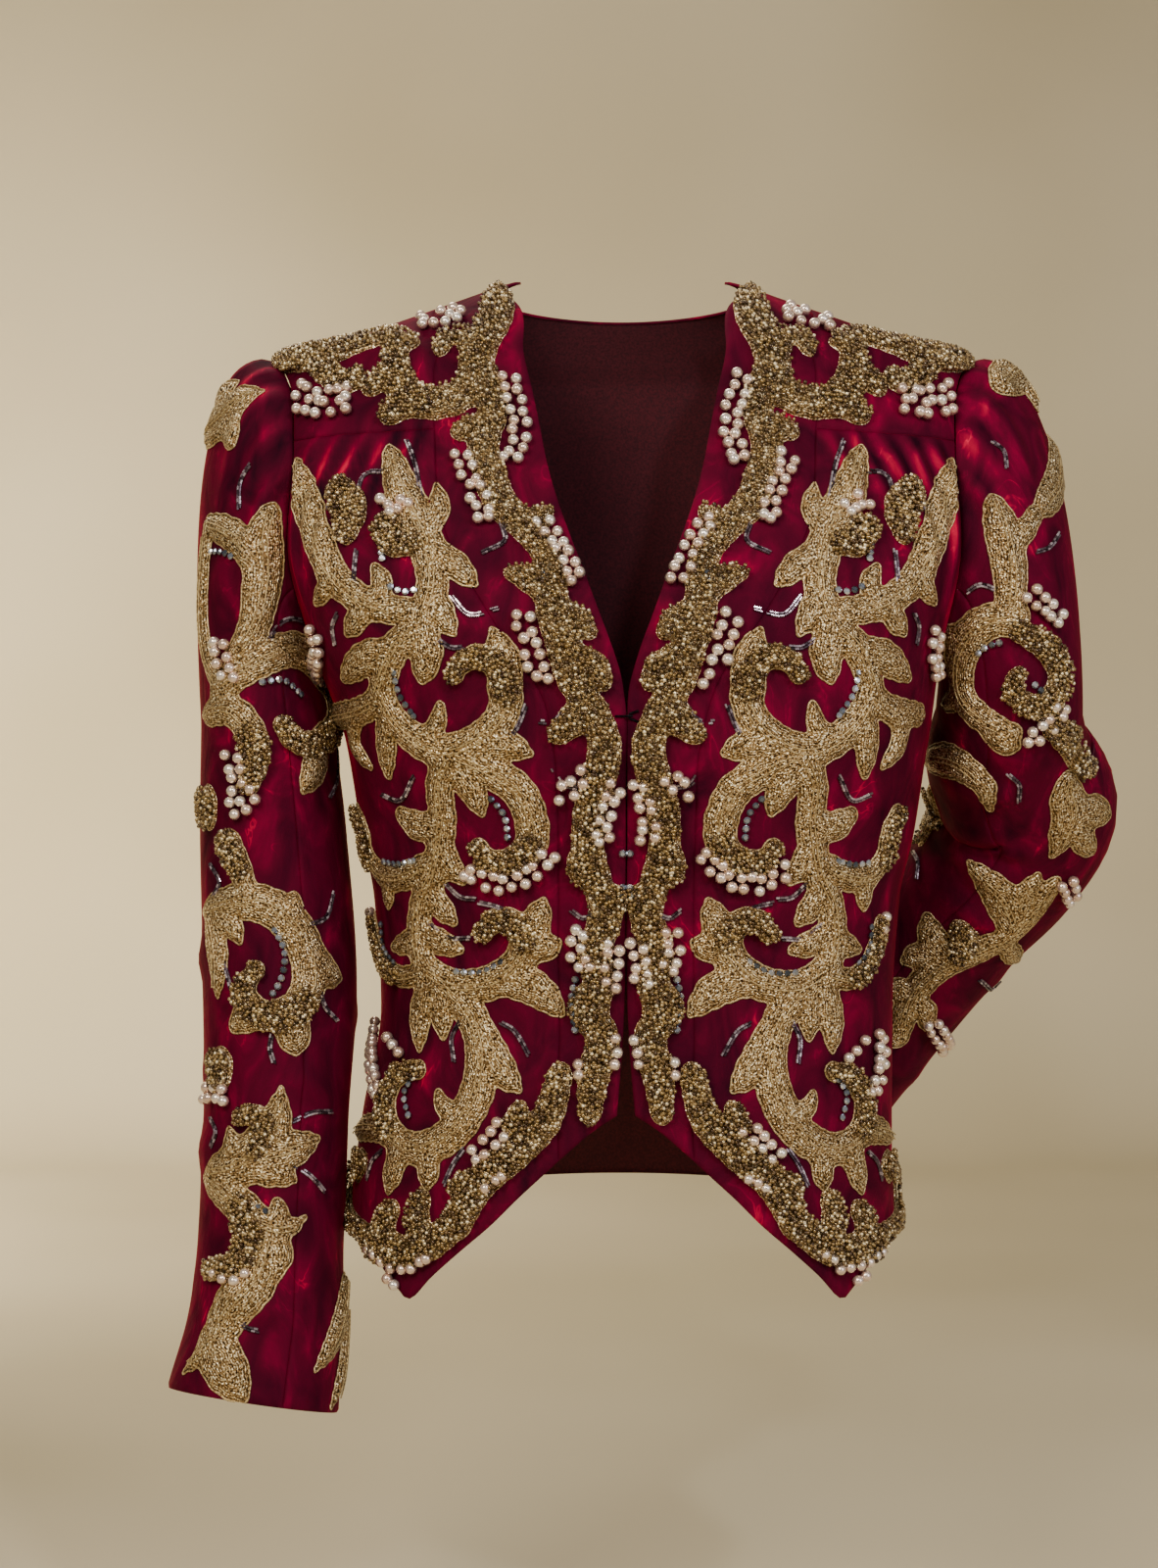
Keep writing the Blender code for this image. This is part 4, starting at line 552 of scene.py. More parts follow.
class Torso(Surface):
    """Rounded-square rings: u is the angle from the centre front times ROUND, v is the height."""

    read = {
        column: through([row.z for row in TORSO], [getattr(row, column) for row in TORSO])
        for column in ("half_width", "front", "back", "shift", "square")
    }

    def base(self, u, v):
        angle = np.asarray(u, float) / ROUND
        sine = np.sin(angle)
        cosine = np.cos(angle)
        depth = np.where(cosine > 0, self.read["front"](v), self.read["back"](v))
        square = self.read["square"](v)
        inside = np.abs(sine / self.read["half_width"](v)) ** square + np.abs(cosine / depth) ** square
        radius = inside ** (-1 / square)
        height = np.asarray(v, float) + 0 * radius
        return np.stack([self.read["shift"](v) + radius * sine, MIDDLE_Y - radius * cosine, height], axis=-1)

    def seen_from_front(self, x, z):
        """The pattern point that shows at x and z from the front."""
        x = np.asarray(x, float) - self.read["shift"](z)
        square = self.read["square"](z)
        share = np.minimum(np.abs(x) / self.read["half_width"](z), 1)
        y = self.read["front"](z) * (1 - share**square) ** (1 / square)
        return np.stack([np.arctan2(x, y) * ROUND, np.asarray(z, float) + 0 * x], axis=-1)

    def seen_from_side(self, side, y, z):
        """The pattern point that shows at y and z from one side."""
        y = y - MIDDLE_Y
        square = self.read["square"](z)
        depth = np.where(y < 0, self.read["front"](z), self.read["back"](z))
        share = np.minimum(np.abs(y) / depth, 1)
        x = self.read["half_width"](z) * (1 - share**square) ** (1 / square)
        return np.stack([side * np.arctan2(x, -y) * ROUND, z], axis=-1)

    def place(self, x, z):
        return self.seen_from_front(x, z)


def armhole(side, steps):
    """Pattern points on the armhole, an egg seen from the side, so many steps from its top to the front."""
    angle = 2 * math.pi * np.asarray(steps, float) / ARMHOLE_STEPS
    half = np.where(np.sin(angle) > 0, ARMHOLE_FRONT, ARMHOLE_BACK)
    y = MIDDLE_Y - half * np.sin(angle)
    return Torso().seen_from_side(side, y, ARMHOLE_MIDDLE_Z + ARMHOLE_HALF_HEIGHT * np.cos(angle))


class Sleeve(Surface):
    """A sleeve head from the armhole to the upper arm, above v = 0, and a tube of oval rings below it.

    u is the angle from the outer line towards the front times SLEEVE_ROUND, so that it runs to the right as
    the outside is seen. The head is a cubic from each armhole point, leaving it by the table's reach, to the
    first ring, which it meets along the arm.
    """

    def __init__(self, side, folds=()):
        super().__init__(folds)
        self.side = side
        rings = SLEEVE_RINGS[side]
        centres = np.array([(r.x, r.y, r.z) for r in rings], float)
        run = np.concatenate([[0], np.cumsum(np.linalg.norm(np.diff(centres, axis=0), axis=1))])
        self.length = float(run[-1])
        self.centre = [through(run, centres[:, k], level_peaks=False) for k in range(3)]
        self.across = through(run, [r.across for r in rings])
        self.deep = through(run, [r.deep for r in rings])
        steps = np.arange(-4, ARMHOLE_STEPS * 4 + 5) / 4
        spots = armhole(side, np.mod(steps, ARMHOLE_STEPS))
        self.hole_angle = steps * 2 * math.pi / ARMHOLE_STEPS
        self.hole = Torso().base(spots[:, 0], spots[:, 1])
        self.head = {
            column: through([row.angle for row in SLEEVE_HEAD], [getattr(row, column) for row in SLEEVE_HEAD])
            for column in ("out", "up", "forward", "pull")
        }
        self.fine = np.radians(np.arange(0, 361, 2))
        lines = self.head_point(self.fine[:, None], np.linspace(0, 1, 33)[None, :])
        self.head_lengths = np.linalg.norm(np.diff(lines, axis=1), axis=2).sum(axis=1)

    def angle(self, u):
        return np.mod(-self.side * np.asarray(u, float) / SLEEVE_ROUND, 2 * math.pi)

    def head_length(self, angle):
        return np.interp(np.mod(angle, 2 * math.pi), self.fine, self.head_lengths)

    def ring(self, angle, along):
        """A point of the oval ring at a distance down the centre line."""
        along = np.asarray(along, float)
        centre = np.stack([c(along) for c in self.centre], axis=-1)
        small = 2.0
        ahead = np.stack([c(np.minimum(along + small, self.length)) for c in self.centre], axis=-1)
        behind = np.stack([c(np.maximum(along - small, 0)) for c in self.centre], axis=-1)
        down = unit(ahead - behind)
        outward = np.zeros_like(down)
        outward[..., 0] = self.side
        outward = unit(outward - down * (outward * down).sum(axis=-1, keepdims=True))
        forward = -self.side * np.cross(outward, down)
        across = self.across(along)[..., None] * np.cos(angle)[..., None]
        deep = self.deep(along)[..., None] * np.sin(angle)[..., None]
        return centre + outward * across + forward * deep, down

    def head_point(self, angle, share):
        """A cubic from the armhole (share 0) to the first ring (share 1)."""
        angle, share = np.broadcast_arrays(np.mod(angle, 2 * math.pi), share)
        start = np.stack([np.interp(angle, self.hole_angle, self.hole[:, k]) for k in range(3)], axis=-1)
        turn = np.degrees(np.where(angle > math.pi, 2 * math.pi - angle, angle))
        front = np.where(angle > math.pi, -1.0, 1.0)
        leave = np.stack(
            [self.side * self.head["out"](turn), -front * self.head["forward"](turn), self.head["up"](turn)],
            axis=-1,
        )
        end, down = self.ring(angle, np.zeros(angle.shape))
        meet = down * self.head["pull"](turn)[..., None]
        s = share[..., None]
        r = 1 - s
        ends = start * (1 + 2 * s) * r**2 + end * s**2 * (3 - 2 * s)
        return ends + leave * s * r**2 - meet * s**2 * r

    def base(self, u, v):
        u, v = np.broadcast_arrays(np.asarray(u, float), np.asarray(v, float))
        angle = self.angle(u)
        share = np.clip(1 - v / self.head_length(angle), 0, 1)
        above = self.head_point(angle, share)
        below, down = self.ring(angle, np.clip(-v, 0, self.length))
        past = np.maximum(-v - self.length, 0)[..., None]
        return np.where((v > 0)[..., None], above, below + down * past)

    def normal(self, u, v):
        """The cloth's own normal, read just below the armhole seam at its edge."""
        return super().normal(np.asarray(u, float), np.minimum(v, self.head_length(self.angle(u)) - 1.2))

    def place(self, degrees, v):
        return np.array([-self.side * math.radians(degrees) * SLEEVE_ROUND, v])


def along_points(surface, points, mirrored):
    """Pattern points, even on the body, along a cubic through a row of points; headings and its length."""
    flip = -1 if mirrored and isinstance(surface, Torso) else 1
    row = np.array([surface.place(flip * x, z) for x, z in points])
    gaps = np.linalg.norm(np.diff(surface.base(row[:, 0], row[:, 1]), axis=0), axis=1)
    at = np.concatenate([[0], np.cumsum(np.sqrt(gaps))])
    fine = np.linspace(0, at[-1], 12 * len(row))
    line = np.stack([through(at, row[:, k], level_peaks=False)(fine) for k in range(2)], axis=1)
    length = length_of(surface, line)
    spots = evenly(surface, line, max(int(round(length / STROKE_STEP)), 4) + 1)
    across, rise, _, _, _ = surface.frame_at(spots[:, 0], spots[:, 1])
    way = np.gradient(surface.base(spots[:, 0], spots[:, 1]), axis=0)
    headings = np.unwrap(np.arctan2((way * rise).sum(axis=1), (way * across).sum(axis=1)))
    return spots, np.degrees(headings), length


def half_widths(share, start, belly, end):
    """Half the stroke's width: from start to end, with the belly's bulge a third of the way along."""
    edge = start + (end - start) * share
    bulge = np.sin(math.pi * share**0.75)
    return 0.5 * np.maximum(edge * (1 - bulge) + belly * bulge, 0.6)


class Motif:
    """One stroke on a surface: its middle line on the pattern and on the body, and its half widths.

    Broad gold strokes have pointed lobes along their edges: the width grows over each and then drops back.
    """

    def __init__(self, surface, stroke, mirrored):
        self.spots, self.headings, self.length = along_points(surface, stroke.points, mirrored)
        share = np.linspace(0, 1, len(self.spots))
        self.half = half_widths(share, stroke.start, stroke.belly, stroke.end)
        lobe = np.mod(share * max(round(self.length / LOBE_PITCH), 1), 1)
        if stroke.beads == 0:
            lobe = np.sin(lobe * math.pi)
        lobed = soft_step((stroke.belly - LOBED_FROM) / (LOBED_FULLY - LOBED_FROM))
        self.half = self.half + LOBE_REACH * (lobe - 0.4) * lobed
        self.line = surface.base(self.spots[:, 0], self.spots[:, 1])
        self.beads = stroke.beads

    def beaded_part(self):
        """The same stroke from where its beads begin, a little wider, to lay the beads over."""
        other = object.__new__(Motif)
        first = int(len(self.spots) * self.beads)
        other.line = self.line[first:]
        other.half = self.half[first:] + 0.8
        return other


def inside_of(points, motifs):
    """How deep body points lie inside the strokes: half the width less the distance to the middle line.

    Strokes are joined by a smooth maximum over JOIN, so that the corners between them are filled.
    """
    outside = -30.0
    reach = 16
    total = np.full(len(points), outside)
    for m in motifs:
        low = m.line.min(axis=0) - reach
        high = m.line.max(axis=0) + reach
        near = np.nonzero(((points > low) & (points < high)).all(axis=1))[0]
        if len(near) == 0:
            continue
        start = m.line[:-1]
        run = m.line[1:] - start
        off = points[near][:, None, :] - start[None, :, :]
        t = np.clip((off * run).sum(axis=2) / (run * run).sum(axis=1), 0, 1)
        away = np.linalg.norm(off - t[..., None] * run, axis=2)
        half = m.half[:-1] + (m.half[1:] - m.half[:-1]) * t
        value = (half - away).max(axis=1)
        old = total[near]
        mix = np.clip(0.5 + 0.5 * (value - old) / JOIN, 0, 1)
        total[near] = old * (1 - mix) + value * mix + JOIN * mix * (1 - mix)
    return total


def smooth_line(points):
    """A cubic through pattern points, with LINE_PARTS parts between each pair."""
    points = np.array(points, float)
    at = np.arange(len(points))
    fine = np.linspace(0, len(points) - 1, (len(points) - 1) * LINE_PARTS + 1)
    return np.stack([through(at, points[:, k], level_peaks=False)(fine) for k in range(2)], axis=1)


def evenly(surface, line, count):
    """Points of a pattern line, even on the body; count is a number or shares of its length."""
    body = surface.base(line[:, 0], line[:, 1])
    run = np.concatenate([[0], np.cumsum(np.linalg.norm(np.diff(body, axis=0), axis=1))])
    shares = np.linspace(0, 1, count) if np.isscalar(count) else count
    return np.stack([np.interp(shares * run[-1], run, line[:, k]) for k in range(2)], axis=1)


def length_of(surface, line):
    body = surface.base(line[:, 0], line[:, 1])
    return float(np.linalg.norm(np.diff(body, axis=0), axis=1).sum())


def edge_shares(length, step, close):
    """Shares of a length at even steps, with closer ones near both ends where a seam turns in."""
    even = np.linspace(0, 1, max(int(length / step), 4) + 1)
    if not close:
        return even
    near = np.array([0, 0.5, 1.1, 1.9]) / length
    middle = even[(even > near[-1] + 0.4 / length) & (even < 1 - near[-1] - 0.4 / length)]
    return np.concatenate([near, middle, 1 - near[::-1]])


class Piece:
    """One cut piece: a surface and its edges, left and right going down, top and foot to the right."""

    def __init__(self, name, surface, left, right, top, foot):
        self.name = name
        self.surface = surface
        self.edges = [np.array(e, float) for e in (left, right, top, foot)]
        self.height = (length_of(surface, self.edges[0]) + length_of(surface, self.edges[1])) / 2
        self.width = max(length_of(surface, self.edges[2]), length_of(surface, self.edges[3]))

    def holds(self, u, v, clear):
        """Whether pattern points lie on the piece, clear of its edges by so much."""
        left, right, top, foot = self.edges
        loop = np.concatenate([left[:-1], foot[:-1], right[::-1][:-1], top[::-1][:-1]])
        enough = 220
        loop = loop[:: max(len(loop) // enough, 1)]
        x, y = np.reshape(u, (-1, 1)), np.reshape(v, (-1, 1))
        start, end = loop, np.roll(loop, -1, axis=0)
        level = np.where(end[:, 1] == start[:, 1], 1e-12, end[:, 1] - start[:, 1])
        meets = (end[:, 0] - start[:, 0]) * (y - start[:, 1]) / level + start[:, 0]
        inside = (((start[:, 1] > y) != (end[:, 1] > y)) & (x < meets)).sum(axis=1) % 2 == 1
        run = end - start
        off = np.stack([x - start[:, 0], y - start[:, 1]], axis=2)
        t = np.clip((off * run).sum(axis=2) / np.maximum((run * run).sum(axis=1), 1e-9), 0, 1)
        away = np.linalg.norm(off - t[..., None] * run, axis=2).min(axis=1)
        return (inside & (away > clear)).reshape(np.shape(u))

    def at(self, across, down):
        """Pattern points between the edges: these blended across and down, less the corners' blend."""
        left = evenly(self.surface, self.edges[0], down)[:, None, :]
        right = evenly(self.surface, self.edges[1], down)[:, None, :]
        top = evenly(self.surface, self.edges[2], across)[None, :, :]
        foot = evenly(self.surface, self.edges[3], across)[None, :, :]
        s = across[None, :, None]
        t = down[:, None, None]
        sides = left * (1 - s) + right * s
        ends = top * (1 - t) + foot * t
        top_corners = top[:, :1] * (1 - s) + top[:, -1:] * s
        foot_corners = foot[:, :1] * (1 - s) + foot[:, -1:] * s
        return sides + ends - (top_corners * (1 - t) + foot_corners * t)


def front_pieces(torso, side):
    """The band, yoke and front of one side. They are laid out left to right as the outside is seen."""
    word = WORDS[side]
    ridge = side * math.pi / 2 * ROUND

    def seen(rows):
        return [torso.seen_from_front(side * e.x, e.z) for e in rows]

    seam_rows = seen(BAND_SEAM + BAND_HEM[:1])
    neck_rows = seen(NECK_EDGE)
    neck = smooth_line([(ridge, 0.0), *neck_rows])
    seam = smooth_line([(ridge, BAND_SHOULDER_Z), *seam_rows])
    band_foot = smooth_line([seam_rows[-1], *seen(BAND_HEM[1:]), neck_rows[-1]])
    hem = smooth_line([(ridge, SIDE_HEM_Z), *seen(FRONT_HEM), seam_rows[-1]])
    hole = armhole(side, np.linspace(0, ARMHOLE_STEPS // 2, ARMHOLE_STEPS // 2 * HOLE_PARTS + 1))
    hole[0] = (ridge, SHOULDER_TIP_Z)
    junction = 3 * LINE_PARTS
    cut = YOKE_SEAM_STEP * HOLE_PARTS
    yoke_seam = np.linspace(seam[junction], hole[cut], YOKE_POINTS)
    shoulder = np.linspace(seam[0], hole[0], YOKE_POINTS)
    band_shoulder = np.linspace(seam[0], neck[0], BAND_SHOULDER_POINTS)
    side_seam = np.linspace([ridge, UNDERARM_Z], [ridge, SIDE_HEM_Z], SIDE_SEAM_POINTS)
    outer = np.concatenate([hole[cut:], side_seam[1:]])
    made = []
    for name, surface, far, near, top, foot in (
        ("band", torso, seam, neck, band_shoulder, band_foot),
        ("yoke", torso, hole[: cut + 1], seam[: junction + 1], shoulder[::-1], yoke_seam[::-1]),
        ("front", Torso(pleats(side)), outer, seam[junction:], yoke_seam[::-1], hem),
    ):
        if side == LEFT:
            far, near, top, foot = near, far, top[::-1], foot[::-1]
        made.append(Piece(f"{name}_{word}", surface, far, near, top, foot))
    return made


def body_pieces():
    """The seven cut pieces of the body. Shared seams are the same fine line on both pieces."""
    torso = Torso()
    ridge = math.pi / 2 * ROUND
    made = front_pieces(torso, RIGHT) + front_pieces(torso, LEFT)
    hole = armhole(LEFT, np.linspace(ARMHOLE_STEPS, ARMHOLE_STEPS // 2, ARMHOLE_STEPS // 2 * HOLE_PARTS + 1))
    hole[0] = (ridge, SHOULDER_TIP_Z)
    shoulder = np.linspace([ridge, 0.0], hole[0], SHOULDER_POINTS)
    side_seam = np.linspace([ridge, UNDERARM_Z], [ridge, SIDE_HEM_Z], SIDE_SEAM_POINTS)
    left = np.concatenate([shoulder, hole[1:], side_seam[1:]])
    turn = 2 * math.pi * ROUND
    right = np.stack([turn - left[:, 0], left[:, 1]], axis=1)
    span = np.linspace(ridge, turn - ridge, ROUND_THE_BODY_POINTS)
    bend = np.maximum(np.sin(span / ROUND - math.pi / 2), 0) ** 0.5
    neck = np.stack([span, BACK_NECK_Z * bend], axis=1)
    rise = np.abs(span / ROUND / math.pi - 1) * 2
    hem = np.stack([span, BACK_HEM_Z + (SIDE_HEM_Z - BACK_HEM_Z) * rise**2], axis=1)
    made.append(Piece("back", Torso(back_folds()), left, right, neck, hem))
    return made


def sleeve_pieces():
    """The top and under pieces of both sleeves: each runs from its armhole edge straight down to the cuff."""
    made = []
    for side in (RIGHT, LEFT):
        sleeve = Sleeve(side, sleeve_folds(Sleeve(side)))
        spans = {
            "top": (BACK_SLEEVE_SEAM_STEP - ARMHOLE_STEPS, FRONT_SLEEVE_SEAM_STEP),
            "under": (FRONT_SLEEVE_SEAM_STEP, BACK_SLEEVE_SEAM_STEP),
        }
        for word, (first, last) in spans.items():
            u = -side * 2 * math.pi * np.array([first, last]) / ARMHOLE_STEPS * SLEEVE_ROUND
            span = np.linspace(u.min(), u.max(), ROUND_THE_BODY_POINTS)
            top = np.stack([span, sleeve.head_length(sleeve.angle(span))], axis=1)
            foot = np.stack([span, np.full(len(span), -sleeve.length)], axis=1)
            left = np.linspace(top[0], foot[0], SLEEVE_SEAM_POINTS)
            right = np.linspace(top[-1], foot[-1], SLEEVE_SEAM_POINTS)
            made.append(Piece(f"sleeve_{word}_{WORDS[side]}", sleeve, left, right, top, foot))
    return made


def pleats(side):
    """Soft pleats that hang from the yoke seam, uneven in length and depth; x is from the centre."""
    Pleat = namedtuple("Pleat", "x length lean width height")
    rows = [
        Pleat(117, 78, -3, 4.2, 3.0), Pleat(131, 58, -2, 4.2, 2.8), Pleat(145, 112, -1, 4.8, 4.2),
        Pleat(160, 84, -1, 4.6, 3.6), Pleat(175, 124, -2, 4.6, 4.2),
    ]
    torso = Torso()
    made = []
    for p in rows:
        u, v = torso.seen_from_front(side * p.x, YOKE_SEAM_Z - 2)
        stretch = float(np.linalg.norm(torso.base(u + 0.5, v) - torso.base(u - 0.5, v)))
        made.append(Fold(u, v + 8, u + side * p.lean, v - p.length, p.width / stretch, p.height))
    return made


def sleeve_folds(sleeve):
    """The head's gathers and the slanting creases of the arm."""
    Gather = namedtuple("Gather", "degrees length width height")
    gathers = [
        Gather(-62, 40, 4.0, 2.6), Gather(-44, 56, 4.4, 3.2),
        Gather(-27, 74, 4.6, 3.6), Gather(-10, 62, 4.6, 3.4),
        Gather(7, 92, 4.8, 4.0), Gather(24, 70, 4.6, 3.6),
        Gather(41, 118, 4.8, 4.2), Gather(58, 84, 4.4, 3.8),
        Gather(74, 132, 4.2, 3.6),
    ]
    made = []
    for g in gathers:
        angle = math.radians(g.degrees)
        u = -sleeve.side * angle * SLEEVE_ROUND
        top = float(sleeve.head_length(angle))
        made.append(Fold(u, top + 6, u * 1.06, top - g.length, g.width, g.height))
    hanging = [
        Crease(-40, -150, 60, -128, 9, 2.6), Crease(60, -176, 150, -150, 9, 2.4),
        Crease(-60, -196, 30, -214, 9, 2.4),
        Crease(100, -206, 175, -232, 8, 2.4), Crease(-30, -262, 70, -240, 9, 2.2),
        Crease(50, -330, 140, -352, 8, 2.2),
        Crease(-70, -344, 20, -322, 8, 2.0), Crease(180, -170, 270, -186, 9, 2.2),
        Crease(200, -250, 280, -236, 9, 2.0),
    ]
    bent = [
        Crease(80, -26, 190, -18, 7, 3.4), Crease(90, -48, 205, -44, 7, 4.2),
        Crease(85, -72, 210, -74, 7, 4.4),
        Crease(90, -98, 200, -104, 8, 3.6), Crease(60, -128, 170, -140, 9, 2.8),
        Crease(-50, -36, 40, -12, 9, 2.4),
        Crease(-60, -118, 30, -96, 9, 2.6), Crease(-40, -190, 60, -166, 9, 2.2),
        Crease(120, -190, 220, -214, 9, 2.2),
        Crease(200, -128, 290, -150, 9, 2.4), Crease(10, -262, 110, -244, 9, 2.0),
    ]
    for c in hanging if sleeve.side == RIGHT else bent:
        u1, v1 = sleeve.place(c.degrees1, c.v1)
        u2, v2 = sleeve.place(c.degrees2, c.v2)
        made.append(Fold(u1, v1, u2, v2, c.width, c.height))
    return made


def back_folds():
    """Shallow creases of the back: two that drop from the shoulder blades and a few across the waist."""
    rows = [
        Crease(122, -150, 138, -330, 11, 2.4), Crease(238, -160, 224, -345, 11, 2.4),
        Crease(150, -404, 206, -392, 10, 2.4), Crease(118, -436, 168, -424, 10, 2.0),
        Crease(196, -440, 246, -452, 10, 2.2), Crease(176, -470, 180, -540, 12, 2.4),
        Crease(140, -466, 132, -542, 11, 2.0), Crease(220, -472, 230, -542, 11, 2.0),
    ]
    return [
        Fold(
            math.radians(c.degrees1) * ROUND, c.v1, math.radians(c.degrees2) * ROUND, c.v2, c.width, c.height
        )
        for c in rows
    ]


def mesh_object(name, corners, faces, materials, tone=None, smooth=True):
    """A mesh from corners in millimetres and faces as rows of corner numbers, with a tone for each corner."""
    mesh = bpy.data.meshes.new(name)
    mesh.from_pydata((np.asarray(corners) * MM).tolist(), [], np.asarray(faces).tolist())
    for material in materials:
        mesh.materials.append(material)
    if tone is not None:
        attribute = mesh.attributes.new("tone", "FLOAT", "POINT")
        attribute.data.foreach_set("value", np.asarray(tone, np.float32))
    if smooth:
        mesh.shade_smooth()
    piece = bpy.data.objects.new(name, mesh)
    bpy.context.scene.collection.objects.link(piece)
    return piece


def grid_faces(rows, columns):
    """The four-sided faces of a grid whose rows go down and columns to the right, seen from outside."""
    a = (np.arange(rows - 1)[:, None] * columns + np.arange(columns - 1)[None, :]).ravel()
    return np.stack([a, a + columns, a + columns + 1, a + 1], axis=1)


def cut_region(field):
    """The part of a grid where the field is above zero.

    Its corners are given as two grid corners and a share between them, then its triangles, and its outline as
    pairs of corners. Each grid cell is two triangles, each cut where the field crosses zero on its sides.
    """
    rows, columns = field.shape
    flat = field.ravel()
    number = np.arange(rows * columns).reshape(rows, columns)
    a, b = number[:-1, :-1].ravel(), number[:-1, 1:].ravel()
    d, c = number[1:, :-1].ravel(), number[1:, 1:].ravel()
    cells = np.concatenate([np.stack([a, d, c], axis=1), np.stack([a, c, b], axis=1)])
    cells = cells[(flat[cells] > 0).any(axis=1)]
    inside = flat[cells] > 0
    whole = cells[inside.all(axis=1)]
    faces = [np.stack([whole, whole], axis=2)]
    lines = []
    for k in range(3):
        p, q, r = cells[:, k], cells[:, (k + 1) % 3], cells[:, (k + 2) % 3]
        in_p, in_q, in_r = inside[:, k], inside[:, (k + 1) % 3], inside[:, (k + 2) % 3]
        one = in_p & ~in_q & ~in_r
        two = ~in_p & in_q & in_r
        own = np.stack([p, p], axis=1)
        pq = np.sort(np.stack([p, q], axis=1), axis=1)
        pr = np.sort(np.stack([p, r], axis=1), axis=1)
        qq = np.stack([q, q], axis=1)
        rr = np.stack([r, r], axis=1)
        faces.append(np.stack([own, pq, pr], axis=1)[one])
        faces.append(np.stack([qq, rr, pr], axis=1)[two])
        faces.append(np.stack([qq, pr, pq], axis=1)[two])
        lines.append(np.stack([pq, pr], axis=1)[one])
        lines.append(np.stack([pr, pq], axis=1)[two])
    faces = np.concatenate(faces)
    lines = np.concatenate(lines)
    key = faces[..., 0] * flat.size + faces[..., 1]
    used, index = np.unique(key, return_inverse=True)
    first, second = used // flat.size, used % flat.size
    gap = flat[first] - flat[second]
    share = np.where(first == second, 0.0, flat[first] / np.where(gap == 0, 1, gap))
    line_key = lines[..., 0] * flat.size + lines[..., 1]
    outline = np.searchsorted(used, line_key)
    return first, second, share, index.reshape(-1, 3), outline


def neighbours(outline, count):
    """For each corner, the corner before and after it along the outline, or itself at an open end."""
    after = np.arange(count)
    before = np.arange(count)
    after[outline[:, 0]] = outline[:, 1]
    before[outline[:, 1]] = outline[:, 0]
    return before, after


def tube_along(points, normals, before, after, radius):
    """A ring of corners round each point, square to the way from the point before to the one after."""
    along = unit(points[after] - points[before])
    side = unit(np.cross(along, normals))
    up = np.cross(side, along)
    sides = 4
    angle = 2 * math.pi * np.arange(sides) / sides
    ring = np.cos(angle)[None, :, None] * side[:, None, :] + np.sin(angle)[None, :, None] * up[:, None, :]
    corners = points[:, None, :] + ring * radius
    start = np.nonzero(after != np.arange(len(points)))[0]
    k = np.arange(sides)
    here = start[:, None] * sides + k
    here_next = start[:, None] * sides + (k + 1) % sides
    there = after[start][:, None] * sides + k
    there_next = after[start][:, None] * sides + (k + 1) % sides
    faces = np.stack([here, here_next, there_next, there], axis=-1).reshape(-1, 4)
    return corners.reshape(-1, 3), faces


def applique_on(piece, motifs, lift):
    """The applique of one piece as a raised region, its depth inside, and a cord along its outline.

    The height is the lift times a soft step of the depth inside, and grows a little more towards the middle.
    """
    across = edge_shares(piece.width, APPLIQUE_STEP, False)
    down = edge_shares(piece.height, APPLIQUE_STEP, False)
    spots = piece.at(across, down)
    rows, columns = spots.shape[:2]
    flat = spots.reshape(-1, 2)
    body = piece.surface.base(flat[:, 0], flat[:, 1])
    field = inside_of(body, motifs).reshape(rows, columns)
    if not (field > 0).any():
        return None
    first, second, share, faces, outline = cut_region(field)
    pattern = flat[first] * (1 - share[:, None]) + flat[second] * share[:, None]
    before, after = neighbours(outline, len(pattern))
    rim = np.unique(outline)
    for _ in range(4):
        even = 0.5 * pattern[rim] + 0.25 * (pattern[before[rim]] + pattern[after[rim]])
        pattern[rim] = even
    depth = field.ravel()[first] * (1 - share) + field.ravel()[second] * share
    depth[rim] = 0
    height = lift * soft_step(depth / RIM_SLOPE) + CROWN * soft_step(depth / CROWN_DEPTH)
    height[rim] = -RIM_SINK
    corners = piece.surface.raised(pattern[:, 0], pattern[:, 1], height)
    u, v = pattern[rim].T
    line = piece.surface.raised(u, v, EDGE_CORD_HEIGHT)
    normals = piece.surface.normal(u, v)
    order = np.full(len(pattern), -1)
    order[rim] = np.arange(len(rim))
    cord = tube_along(line, normals, order[before[rim]], order[after[rim]], EDGE_CORD_RADIUS)
    return corners, faces, depth, cord


def vein_cords(piece, motifs):
    """Pairs of cords along the strokes' middles, where these lie on the piece and are broad enough."""
    corners = []
    faces = []
    count = 0
    for m in motifs:
        for offset in VEIN_OFFSETS:
            u, v = piece.surface.step(*m.spots.T, m.headings + 90, np.full(len(m.spots), offset))
            share = np.linspace(0, 1, len(u))
            kept = piece.holds(u, v, SEAM_CLEAR) & (m.half > abs(offset) + VEIN_CLEAR)
            kept = kept & (share > VEIN_FIRST) & (share < VEIN_LAST)
            line = piece.surface.raised(u, v, GOLD_LIFT + VEIN_HEIGHT)
            index = np.arange(len(line))
            after = np.minimum(index + 1, len(line) - 1)
            after = np.where(kept & kept[after], after, index)
            if not (after != index).any():
                continue
            before = np.maximum(index - 1, 0)
            tube, quads = tube_along(line, piece.surface.normal(u, v), before, after, VEIN_RADIUS)
            used, quads = np.unique(quads, return_inverse=True)
            corners.append(tube[used])
            faces.append(quads.reshape(-1, 4) + count)
            count += len(used)
    if not corners:
        return None
    return np.concatenate(corners), np.concatenate(faces)


